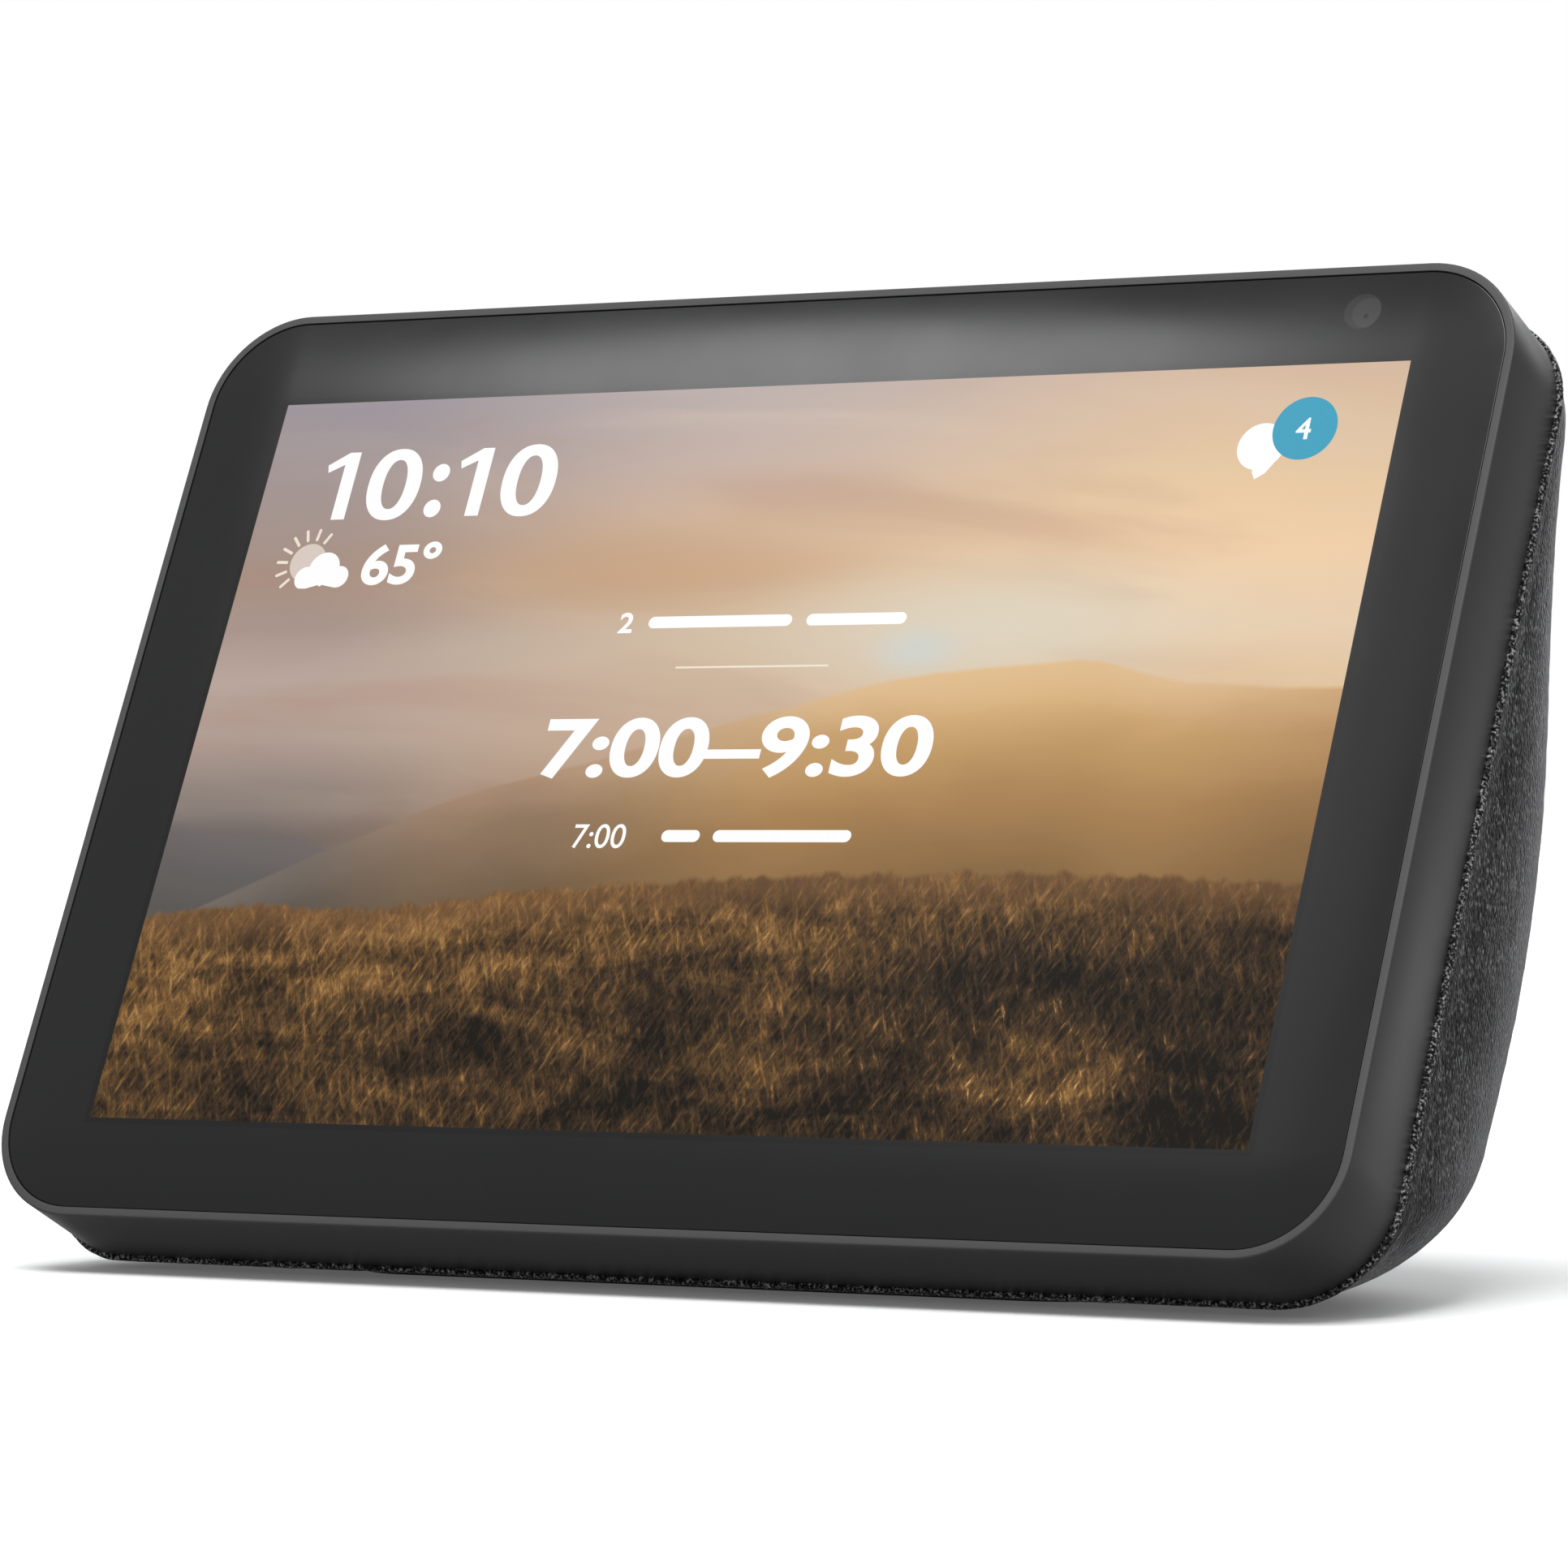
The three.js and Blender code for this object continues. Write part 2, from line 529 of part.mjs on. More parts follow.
// ---------------------------------------------------------------- speaker box, drivers and radiator
function boxPlan(inset) {
  const half = 33 - inset * 0.3;
  const rear = BOX.rear - inset;
  const axis = new THREE.Vector2(Math.cos(DRIVER.aim), Math.sin(DRIVER.aim));
  const across = new THREE.Vector2(axis.y, -axis.x);
  const face = new THREE.Vector2(DRIVER.x, DRIVER.y).addScaledVector(axis, -inset);
  const side = face.clone().addScaledVector(across, 26 - inset);
  const start = face.clone().addScaledVector(across, (half - face.x) / across.x);
  const points = [[half, Math.min(start.y, rear)], [side.x, side.y], [side.x - 4, -12], [20, -40]];
  const shape = new THREE.Shape();
  shape.moveTo(0, rear).lineTo(half - 3, rear);
  points.forEach(([x, y]) => shape.lineTo(x, y));
  [...points].reverse().forEach(([x, y]) => shape.lineTo(-x, y));
  shape.lineTo(-half + 3, rear);
  const depth = BOX.high - BOX.low - 2 * inset;
  const prism = new THREE.ExtrudeGeometry(shape, { depth, bevelEnabled: false });
  prism.translate(0, 0, BOX.low + inset);
  return common(common(prism, behind(BOX.front - inset)), bodyForm(SHELL_INSET + SHELL_WALL + 0.4 + inset));
}

const radiatorCut = slab(26.5, 16.5, 14, -60, 60).rotateX(Math.PI / 2).translate(0, 60, RADIATOR.z);
const posts = BASE_SCREWS.map(([x, y]) => disc(3.4, BASE.floor + GAP, BOX.low + 1, x, y, 12));
add(display, "speaker_box", cut(
  joined(cut(boxPlan(0), boxPlan(BOX.wall)), ...posts),
  ...BASE_SCREWS.map(([x, y]) => disc(1.8, 0, 13, x, y, 12)),
  ...[-1, 1].map((side) => disc(23.6, -14, 5).applyMatrix4(driverPlace(side))),
  cut(radiatorCut, block(-60, 60, -60, 30, 0, 100)),
), "innerPlastic");

const DRIVER_PIECES = {
  basket: [turned([
    [22.5, 2.3], [22.5, -0.4], [12.4, -15.4], [9.5, -16], [9.5, -17], [13.5, -17], [13.5, -15.6],
    [23.2, GAP], [DRIVER.flange, GAP], [DRIVER.flange, 2.3], [22.5, 2.3],
  ]), "steel"],
  magnet: [turned([[0, -23], [12, -23], [12, -17.3], [6, -17.3], [6, -13], [0, -13]]), "steel"],
  cone: [turned([
    [0, -8.3], [4, -8.9], [7.3, -11], [7.3, -15.4], [7.9, -15.4], [8.2, -11.6], [20.9, 0.6], [20.9, 1.4],
    [8, -10.2], [4, -8], [0, -7.4],
  ]), "paper"],
  surround: [turned([
    [21.3, 1], [21.9, 1], [22.6, 2.6], [26.5, 2.6], [26.5, 3.3], [25.2, 3.6], [23.8, 4.6], [22.4, 3.9],
    [21.3, 2.2], [21.3, 1],
  ]), "rubber"],
};
[[-1, "left"], [1, "right"]].forEach(([side, name]) => {
  const speaker = new THREE.Group();
  speaker.applyMatrix4(driverPlace(side));
  display.add(speaker);
  Object.entries(DRIVER_PIECES).forEach(([piece, [geometry, look]]) => {
    add(speaker, `speaker_${piece}_${name}`, geometry, look);
  });
});

const radiator = new THREE.Group(); // its Z points out of the back
radiator.position.set(0, BOX.rear, RADIATOR.z);
radiator.rotation.x = -Math.PI / 2;
display.add(radiator);
add(radiator, "radiator_frame", cut(
  slab(RADIATOR.halfWidth, RADIATOR.halfHeight, 16, GAP, 2),
  slab(27, 17, 14, -1, 5),
), "innerPlastic");
add(radiator, "radiator_surround", cut(
  joined(slab(29.5, 19.5, 15, 2.3, 3.1), slab(26.4, 16.4, 13, 0.6, 3.9)),
  slab(23.3, 13.3, 11, -1, 9),
), "rubber");
add(radiator, "passive_radiator", slab(23, 13, 10.7, 0.9, 2.5), "paper");

export default display;
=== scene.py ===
"""The looks of a smart display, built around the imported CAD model.

Lengths are in millimetres until a mesh is made, and +Z is up. Pieces of the leaning head are built in its
own directions, from the middle of the screen: u to the right, v up the slope and w out of the glass.
"""
import json
import math

import bmesh
import bpy
import numpy as np
from mathutils import Matrix, Vector


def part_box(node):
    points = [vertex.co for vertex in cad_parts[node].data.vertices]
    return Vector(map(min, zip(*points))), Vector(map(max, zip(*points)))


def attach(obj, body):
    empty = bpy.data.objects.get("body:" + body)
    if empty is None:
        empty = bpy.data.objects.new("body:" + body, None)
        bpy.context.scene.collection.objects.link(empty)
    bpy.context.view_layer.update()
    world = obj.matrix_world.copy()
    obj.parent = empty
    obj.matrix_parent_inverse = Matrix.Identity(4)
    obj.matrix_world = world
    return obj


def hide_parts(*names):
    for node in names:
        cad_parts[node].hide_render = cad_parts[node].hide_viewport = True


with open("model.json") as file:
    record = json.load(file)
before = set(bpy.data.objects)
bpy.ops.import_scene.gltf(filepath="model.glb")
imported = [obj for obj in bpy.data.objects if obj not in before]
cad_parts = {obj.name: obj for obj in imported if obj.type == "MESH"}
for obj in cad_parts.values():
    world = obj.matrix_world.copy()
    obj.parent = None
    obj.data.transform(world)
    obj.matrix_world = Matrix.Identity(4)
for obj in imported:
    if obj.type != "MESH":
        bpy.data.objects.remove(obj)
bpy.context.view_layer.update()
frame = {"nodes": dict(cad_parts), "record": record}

# -- driving dimensions, from the frame
MM = 0.001
LEAN = math.radians(25.2)
BAND = 14.3  # depth of the plain band behind the glass
CORNER = 14.0  # corner radius of the front frame


def cad_box(node):
    """The lowest and highest corners of a CAD node, in millimetres."""
    low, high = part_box(node)
    return low / MM, high / MM


frame_low, frame_high = cad_box("front_frame")
HALF_U = frame_high.x
SLANT = (frame_high.z - frame_low.z - BAND * math.sin(LEAN)) / math.cos(LEAN)
HALF_V = SLANT / 2
HEAD_Y = frame_low.y + HALF_V * math.sin(LEAN)
HEAD_Z = frame_high.z - HALF_V * math.cos(LEAN)
HEAD = Matrix.Translation((0, HEAD_Y * MM, HEAD_Z * MM)) @ Matrix.Rotation(math.pi / 2 - LEAN, 4, "X")

GLASS_HALF_U = cad_box("cover_glass")[1].x
GLASS_HALF_V = GLASS_HALF_U - HALF_U + HALF_V
GLASS_RADIUS = GLASS_HALF_U - HALF_U + CORNER
GLASS_THICKNESS = 1.1
PICTURE_HALF_U = 86.15
PICTURE_HALF_V = 53.85
CAMERA_U, CAMERA_V = 77.9, 61.3
TOP_CENTRE = -7.4  # middle of the band's top face

REAR_Y = -frame_low.y  # the rearmost point of the fabric
REAR_POLE = 49.2  # and its height
REAR_LOWER_RADIUS = 24.0
FULL_SIDE, FULL_TOP, FULL_UNDERSIDE = 2.94, 2.0, 3.0  # how full the body swells: 2 is an ellipse
FULL_EASE = 4  # how fast the fullness leaves the side's
OVAL_POWER, OVAL_ONSET = 2.3, 0.24  # the oval that the outline softens to, and how soon
FINE_RIM = {"arc": 20, "side": 60, "flat": 100}  # points along a ring of the knit

LIP = 0.12  # how far the frame's lip stands proud of the glass
BUTTONS = (("volume_down", -24.0), ("volume_up", 0.0), ("privacy", 24.0))
BUTTON_HALF = (5.7, 1.9)
BUTTON_RISE = 0.45  # how far a button's cap stands out of the band
MIC_PLACES = (-52.0, 48.0)
TRACK = {"u0": 59.6, "u1": 79.0, "floor": HALF_V - 0.6, "half_depth": 1.9}  # the shutter knob's trough
KNOB_U = 65.9
ARM_HALF = 1.1  # half the width of the shutter's neck and arm
SCREW_X, SCREW_Y = 50.0, 12.0  # places of the base's screws

LENS = 150.1
CAMERA_YAW, CAMERA_PITCH = math.radians(30.76), math.radians(0.337)
CAMERA_FROM_HEAD = (439.277, -724.788, -9.45)
FLOOR_HALF = 30000.0
FLOOR_SEEN, FLOOR_LIT = 0.9, 0.26  # how pale the floor is to the camera and to the light

GLASS_ROUGHNESS = 0.17
STITCH = 0.44  # spacing of the knit's loops
FRAY = 0.36  # size of the loose fibres and their painted highlight specks at the knit's front edge
INK_LIFT = 0.03  # how far the screen's figures stand off the glass
INK_THICKNESS = 0.02
BADGE_LIFT = 0.07
WORD_HEIGHT = 1.7  # of the dashes that stand for words
CLOCK_BASE = 35.5


# -- meshes
def add_object(name, data):
    """An object for this data, in the scene."""
    piece = bpy.data.objects.new(name, data)
    bpy.context.scene.collection.objects.link(piece)
    return piece


def make_object(name, points, faces, matrix=None):
    """An object from points in millimetres, with its faces turned outwards."""
    mesh = bpy.data.meshes.new(name)
    mesh.from_pydata((np.asarray(points, float) * MM).tolist(), [], faces)
    piece = add_object(name, mesh)
    work = bmesh.new()
    work.from_mesh(mesh)
    bmesh.ops.recalc_face_normals(work, faces=work.faces)
    work.to_mesh(mesh)
    work.free()
    if matrix is not None:
        piece.matrix_world = matrix
    return piece


def rounded(half_u, half_v, radius, low_radius=None, arc=12, side=1, flat=1):
    """A rounded rectangle's points, anticlockwise from its lower left, as rows of (u, v)."""
    low = radius if low_radius is None else low_radius
    corners = [(1, -1, low, -90), (1, 1, radius, 0), (-1, 1, radius, 90), (-1, -1, low, 180)]
    arcs = []
    for sign_u, sign_v, r, start in corners:
        angles = np.radians(start + np.linspace(0, 90, arc + 1))
        centre = np.array([sign_u * (half_u - r), sign_v * (half_v - r)])
        arcs.append(centre + r * np.column_stack([np.cos(angles), np.sin(angles)]))
    points = []
    for index, piece in enumerate(arcs):
        before = arcs[index - 1][-1]
        steps = flat if index % 2 == 0 else side
        between = before + (piece[0] - before) * (np.arange(1, steps) / steps)[:, None]
        points.append(np.vstack([between, piece]))
    return np.vstack(points)


def ring_faces(rings, count, closed=False):
    """Quads between rings of the same count; closed joins the last ring to the first."""
    faces = []
    for i in range(rings if closed else rings - 1):
        a, b = i * count, ((i + 1) % rings) * count
        for k in range(count):
            n = (k + 1) % count
            faces.append((a + k, a + n, b + n, b + k))
    return faces


def at_depth(outline, w):
    """A flat outline as points with the same third coordinate."""
    return np.column_stack([outline, np.full(len(outline), w)])


def outline_rings(profile, half_u, half_v, radius, **corners):
    """A rounded rectangle for each (inset, depth) point of a profile."""
    rings = []
    for inset, w in profile:
        shape = rounded(half_u - inset, half_v - inset, radius - inset, **corners)
        rings.append(at_depth(shape, w))
    return rings


def round_edge(radius, end, side=1, steps=6):
    """A quarter turn of (inset, height) points that ends in the face at end; side is -1 for a lower face."""
    turns = np.linspace(0, math.pi / 2, steps) if radius else [0.0]
    return [(radius * (1 - math.cos(t)), end - side * radius * (1 - math.sin(t))) for t in turns]


def solid(name, rings, matrix=None):
    """A closed solid through rings of points, with a flat face at either end."""
    number, count = len(rings), len(rings[0])
    last = range((number - 1) * count, number * count)
    faces = ring_faces(number, count) + [tuple(range(count))[::-1], tuple(last)]
    return make_object(name, np.vstack(rings), faces, matrix)


def bar(name, half_length, half_depth, edge, v0, v1, u, arc=10):
    """A pill shaped bar in the band's top face, with its own top edge rounded by edge."""
    rings = []
    for inset, v in [(0.0, v0)] + round_edge(edge, v1):
        flat = rounded(half_length - inset, half_depth - inset, half_depth - inset - 1e-3, arc=arc)
        rings.append(np.column_stack([flat[:, 0] + u, np.full(len(flat), v), TOP_CENTRE - flat[:, 1]]))
    return solid(name, rings, HEAD)


def round_bar(name, radius, start, end, sides=40, matrix=None):
    """A plain cylinder between two points."""
    axis = Vector(end) - Vector(start)
    turn = Vector((0, 0, 1)).rotation_difference(axis).to_matrix()
    angles = np.linspace(0, 2 * math.pi, sides, endpoint=False)
    ring = [turn @ Vector((radius * math.cos(a), radius * math.sin(a), 0)) for a in angles]
    return solid(name, [[Vector(middle) + p for p in ring] for middle in (start, end)], matrix)


def block(name, low, high, matrix=None):
    """A box between two corners."""
    points = [(x, y, z) for x in (low[0], high[0]) for y in (low[1], high[1]) for z in (low[2], high[2])]
    faces = [(0, 1, 3, 2), (4, 6, 7, 5), (0, 4, 5, 1), (2, 3, 7, 6), (0, 2, 6, 4), (1, 5, 7, 3)]
    return make_object(name, points, faces, matrix)


def carve(piece, tools, operation="DIFFERENCE"):
    """Cuts, joins or keeps what is common with each tool, and removes the tools."""
    for tool in tools:
        modifier = piece.modifiers.new("carve", "BOOLEAN")
        modifier.operation = operation
        modifier.solver = "EXACT"
        modifier.object = tool
    bpy.context.view_layer.update()
    depsgraph = bpy.context.evaluated_depsgraph_get()
    result = bpy.data.meshes.new_from_object(piece.evaluated_get(depsgraph))
    old = piece.data
    piece.modifiers.clear()
    piece.data = result
    bpy.data.meshes.remove(old)
    for tool in tools:
        bpy.data.objects.remove(tool)
    return piece


def join(pieces, name):
    """Joins meshes that share a place into one object."""
    work = bmesh.new()
    for piece in pieces:
        copy = piece.data.copy()
        copy.transform(pieces[0].matrix_world.inverted() @ piece.matrix_world)
        work.from_mesh(copy)
        bpy.data.meshes.remove(copy)
    mesh = pieces[0].data
    work.to_mesh(mesh)
    work.free()
    for piece in pieces[1:]:
        bpy.data.objects.remove(piece)
    pieces[0].name = name
    return pieces[0]


def finish_piece(piece, body, slot, replaced=(), material=None, angle=32):
    """Shades a new piece, gives it the material named by its slot, and rides it on its body."""
    piece.data.materials.clear()
    piece.data.materials.append(material or MATERIALS[slot])
    if angle:
        piece.data.shade_smooth()
        piece.data.set_sharp_from_angle(angle=math.radians(angle))
    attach(piece, body)
    if replaced:
        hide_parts(*replaced)
    return piece


# -- shader graphs
def srgb(red, green, blue):
    """A display colour, 0 to 255, as linear light."""
    values = [c / 255 for c in (red, green, blue)]
    return [c / 12.92 if c <= 0.04045 else ((c + 0.055) / 1.055) ** 2.4 for c in values] + [1.0]


def grey(level):
    """A neutral display colour, 0 to 255."""
    return srgb(level, level, level)


class Graph:
    """A material's node tree with a Principled shader, and short ways to add to it."""

    def __init__(self, name):
        self.material = bpy.data.materials.new(name)
        self.material.use_nodes = True
        self.tree = self.material.node_tree
        self.tree.nodes.clear()
        self.shader = self.node("BsdfPrincipled")
        self.feed(self.node("OutputMaterial").inputs["Surface"], self.shader.outputs[0])

    def node(self, kind, **values):
        """A new node, with its inputs by name and spaces written as underscores."""
        node = self.tree.nodes.new("ShaderNode" + kind)
        self.fill(node, values)
        return node

    def fill(self, node, values):
        """Gives a node's inputs their values."""
        for name, value in values.items():
            self.feed(node.inputs[name.replace("_", " ")], value)

    def feed(self, socket, value):
        """Links a node's output to the socket, or sets a plain value on it."""
        if isinstance(value, bpy.types.NodeSocket):
            self.tree.links.new(value, socket)
        else:
            socket.default_value = value

    def set(self, **values):
        """The shader's inputs by name."""
        self.fill(self.shader, values)

    def place(self, scale=(1, 1, 1), offset=(0, 0, 0)):
        """Object coordinates in millimetres, stretched and moved."""
        coordinates = self.node("TexCoord").outputs["Object"]
        in_millimetres = [s / MM for s in scale]
        return self.node("Mapping", Vector=coordinates, Scale=in_millimetres, Location=offset).outputs[0]

    def parts(self, vector):
        """A vector's three parts."""
        return self.node("SeparateXYZ", Vector=vector).outputs

    def vector(self, x, y, z):
        """A vector from three parts."""
        return self.node("CombineXYZ", X=x, Y=y, Z=z).outputs[0]

    def math(self, operation, a, b=0.0, clamp=False):
        """One step of arithmetic."""
        node = self.node("Math")
        node.operation = operation
        node.use_clamp = clamp
        self.feed(node.inputs[0], a)
        self.feed(node.inputs[1], b)
        return node.outputs[0]

    def total(self, first, *others):
        """The sum of any number of values."""
        for other in others:
            first = self.math("ADD", first, other)
        return first

    def minus(self, a, b):
        """The difference of two values."""
        return self.math("SUBTRACT", a, b)

    def times(self, a, b):
        """The product of two values."""
        return self.math("MULTIPLY", a, b)

    def stretched(self, x, y, across, up, layer):
        """A place for noise: x and y scaled apart, on a layer of its own."""
        return self.vector(self.times(x, across), self.times(y, up), layer)

    def step(self, value, low, high, to_low=0.0, to_high=1.0):
        """A smooth step of value from low to high."""
        node = self.node("MapRange", Value=value, From_Min=low, From_Max=high, To_Min=to_low, To_Max=to_high)
        node.interpolation_type = "SMOOTHSTEP"
        return node.outputs[0]

    def noise(self, vector=None, scale=1.0, detail=3.0, roughness=0.5, distortion=0.0):
        """Cloudy noise over the object or another vector, mostly between 0.2 and 0.8."""
        vector = self.place() if vector is None else vector
        node = self.node("TexNoise", Vector=vector, Scale=scale, Detail=detail, Roughness=roughness)
        self.fill(node, {"Distortion": distortion})
        return node.outputs["Fac"]

    def cells(self, vector, scale=1.0, output="Distance", randomness=1.0):
        """Cells round scattered points: the distance to the nearest point, or its colour."""
        return self.node("TexVoronoi", Vector=vector, Scale=scale, Randomness=randomness).outputs[output]

    def ramp(self, value, stops):
        """A colour ramp from (place, colour) stops."""
        node = self.node("ValToRGB", Fac=value)
        band = node.color_ramp
        while len(band.elements) < len(stops):
            band.elements.new(0.5)
        for element, (position, colour) in zip(band.elements, stops):
            element.position = position
            element.color = colour
        return node.outputs[0]

    def curve(self, value, points):
        """A smooth curve through (x, y) points from 0 to 1."""
        node = self.node("FloatCurve", Value=value)
        line = node.mapping.curves[0]
        while len(line.points) < len(points):
            line.points.new(0.5, 0.5)
        for point, place in zip(line.points, points):
            point.location = place
        node.mapping.update()
        return node.outputs[0]

    def mix(self, factor, a, b):
        """A colour between a and b."""
        node = self.node("Mix")
        node.data_type = "RGBA"
        self.feed(node.inputs[0], factor)
        self.feed(node.inputs[6], a)
        self.feed(node.inputs[7], b)
        return node.outputs[2]

    def bump(self, height, distance, strength=1.0):
        """Relief in the surface, distance millimetres high."""
        relief = self.node("Bump", Height=height, Distance=distance * MM, Strength=strength)
        self.set(Normal=relief.outputs[0])


# -- materials
def plastic(name, dark, light, roughness, grain=0.25, depth=0.02):
    """Moulded plastic with a fine spark-eroded grain and a little unevenness in colour and gloss."""
    g = Graph(name)
    fine = g.noise(scale=1 / grain, detail=2)
    broad = g.noise(scale=0.06, detail=3)
    g.set(Base_Color=g.ramp(broad, [(0.3, dark), (0.7, light)]))
    g.set(Roughness=g.step(broad, 0.2, 0.8, roughness - 0.04, roughness + 0.04))
    g.bump(fine, depth)
    return g.material


def frame_plastic():
    """Satin charcoal plastic with a fine grain; the lip is rougher and painted a shade lighter than the band,
    a painted highlight.
    """
    g = Graph("frame_plastic")
    _, _, depth = g.parts(g.place())
    lip = g.step(depth, -0.2, 0.0)
    broad = g.noise(scale=0.06, detail=3)
    band = g.ramp(broad, [(0.3, grey(47)), (0.7, grey(52))])
    # painted highlight: the lip's front face is a lighter grey than the band of the same moulding
    g.set(Base_Color=g.mix(lip, band, grey(65)))
    g.set(Roughness=g.total(g.step(broad, 0.2, 0.8, 0.31, 0.36), g.times(lip, 0.2)))
    g.bump(g.noise(scale=4.0, detail=2), 0.012)
    return g.material


def knit():
    """Heathered charcoal knit: short upright flecks of dark and light yarn, painted shade between the loops,
    and a frayed front edge whose loose yarn ends carry a painted highlight.
    """
    g = Graph("charcoal_knit")
    place = g.place()
    wander = g.noise(place, scale=0.4, detail=2)
    adder = g.node("VectorMath")
    g.feed(adder.inputs[0], g.place(scale=(1.0, 1.0, 0.65)))
    g.feed(adder.inputs[1], g.vector(wander, wander, 0.0))
    swayed = adder.outputs[0]
    loops = g.cells(swayed, scale=1 / STITCH)
    yarn = g.parts(g.cells(swayed, scale=1 / STITCH, output="Color"))[0]
    fleck = g.noise(swayed, scale=1 / STITCH, detail=4, roughness=0.62)
    patches = g.noise(place, scale=0.1, detail=3)
    tone = g.total(g.times(yarn, 0.3), g.times(fleck, 0.9), g.step(patches, 0.3, 0.7, -0.05, 0.05))
    body = g.ramp(tone, [
        (0.36, grey(6)), (0.5, grey(26)), (0.6, grey(54)), (0.7, grey(98)), (0.82, grey(160)),
    ])
    # painted shade: the knit darkens towards near black between its loops, where shade falls
    crevice_shade = g.step(loops, 0.2, 0.6, 1.0, 0.45)
    body = g.mix(crevice_shade, grey(8), body)
    depth = depth_behind_glass(g)
    frayed = g.noise(place, scale=1 / FRAY, detail=3, roughness=0.6)
    # the front edge's light specks are loose fibres with a painted highlight, for the rolled edge catching
    # the light
    fibres_and_glints = g.ramp(frayed, [(0.4, grey(14)), (0.52, grey(60)), (0.66, grey(200))])
    fringe = g.noise(place, scale=0.9, detail=2)
    reach = g.total(depth, g.step(fringe, 0.3, 0.7, -0.45, 0.45))
    at_edge = g.step(reach, BAND + 0.9, BAND + 1.7, 1.0, 0.0)
    g.set(Base_Color=g.mix(at_edge, body, fibres_and_glints))
    g.set(Roughness=0.9, Specular_IOR_Level=0.2)
    g.set(Sheen_Roughness=0.3, Sheen_Tint=(0.85, 0.85, 0.87, 1.0))
    facing = g.node("LayerWeight", Blend=0.5).outputs["Facing"]
    g.set(Sheen_Weight=g.step(facing, 0.57, 0.88, 0.12, 1.0))
    height = g.minus(g.times(fleck, 0.8), g.times(loops, 0.9))
    g.bump(height, 0.3, strength=0.9)
    return g.material


def depth_behind_glass(g):
    """How far a point of the standing body is behind the glass's plane, in millimetres."""
    _, y, z = g.parts(g.place())
    back = g.times(g.minus(y, HEAD_Y), math.cos(LEAN))
    up = g.times(g.minus(z, HEAD_Z), math.sin(LEAN))
    return g.minus(back, up)


def radius_from(g, x, y, centre_x, centre_y, tall=1.0):
    """Distance from a point, with heights counted tall times over."""
    across = g.minus(x, centre_x)
    up = g.times(g.minus(y, centre_y), tall)
    square = g.total(g.times(across, across), g.times(up, up))
    return g.math("SQRT", square)


def glass_border():
    """Gloss black print under the glass, with the camera's slightly lighter round window."""
    g = Graph("glass_border")
    u, v, _ = g.parts(g.place())
    window = radius_from(g, u, v, CAMERA_U, CAMERA_V)
    lens = radius_from(g, u, v, CAMERA_U + 0.75, CAMERA_V - 0.2)
    pupil = radius_from(g, u, v, CAMERA_U + 0.6, CAMERA_V - 0.7)
    in_window = g.step(window, 2.5, 2.6, 1.0, 0.0)
    in_lens = g.times(in_window, g.step(lens, 2.05, 2.2, 1.0, 0.0))
    in_pupil = g.step(pupil, 0.2, 0.5, 1.0, 0.0)
    cloud = g.noise(scale=0.02, detail=2)
    colour = g.ramp(cloud, [(0.3, grey(15)), (0.7, grey(18))])
    colour = g.mix(in_window, colour, grey(42))
    colour = g.mix(in_lens, colour, grey(56))
    colour = g.mix(in_pupil, colour, grey(30))
    half_u = g.minus(g.math("ABSOLUTE", u), PICTURE_HALF_U)
    half_v = g.minus(g.math("ABSOLUTE", v), PICTURE_HALF_V)
    beside = g.step(g.math("MAXIMUM", half_u, half_v), 0.7, 1.0, 1.0, 0.0)
    g.set(Base_Color=g.mix(beside, colour, grey(6)))
    smear = g.noise(scale=0.05, detail=4)
    g.set(Roughness=g.step(smear, 0.2, 0.8, GLASS_ROUGHNESS - 0.02, GLASS_ROUGHNESS + 0.02))
    return g.material


def sky(g, x, y):
    """Dusk cloud, mauve at the left and peach at the right, with a pale glow right of the middle."""
    left = g.ramp(y, [
        (0.38, srgb(112, 104, 100)), (0.44, srgb(140, 128, 122)), (0.52, srgb(182, 162, 152)),
        (0.6, srgb(190, 170, 160)), (0.67, srgb(172, 150, 142)), (0.74, srgb(172, 148, 134)),
        (0.86, srgb(168, 152, 148)), (1.0, srgb(158, 150, 158)),
    ])
    middle = g.ramp(y, [
        (0.4, srgb(184, 140, 106)), (0.55, srgb(216, 192, 166)), (0.66, srgb(214, 192, 166)),
        (0.74, srgb(212, 178, 142)), (0.82, srgb(212, 180, 152)), (0.9, srgb(200, 178, 166)),
        (1.0, srgb(188, 174, 170)),
    ])
    right = g.ramp(y, [
        (0.5, srgb(226, 190, 146)), (0.66, srgb(238, 212, 180)), (0.76, srgb(246, 212, 172)),
        (0.86, srgb(236, 204, 164)), (1.0, srgb(218, 188, 162)),
    ])
    colour = g.mix(g.step(x, 0.05, 0.5), left, middle)
    colour = g.mix(g.step(x, 0.42, 0.9), colour, right)
    drift = g.vector(g.times(x, 2.2), g.total(g.times(y, 7.5), x), 3.0)
    cloud = g.noise(drift, scale=1.1, detail=4, roughness=0.45, distortion=0.6)
    colour = g.mix(g.step(cloud, 0.5, 0.75, 0.0, 0.34), colour, srgb(176, 132, 112))
    clear = g.times(g.step(cloud, 0.5, 0.28, 0.0, 0.3), g.step(x, 0.05, 0.5, 0.25, 1.0))
    colour = g.mix(clear, colour, srgb(226, 206, 186))
    ember = g.step(radius_from(g, x, y, 0.38, 0.745, 2.6), 0.02, 0.24, 0.6, 0.0)
    colour = g.mix(ember, colour, srgb(200, 160, 124))
    glow = g.step(radius_from(g, x, y, 0.7, 0.66, 1.9), 0.0, 0.26, 0.7, 0.0)
    colour = g.mix(glow, colour, srgb(224, 218, 200))
    spot = g.step(radius_from(g, x, y, 0.64, 0.63, 1.2), 0.0, 0.055, 0.7, 0.0)
    return g.mix(spot, colour, srgb(206, 216, 214))


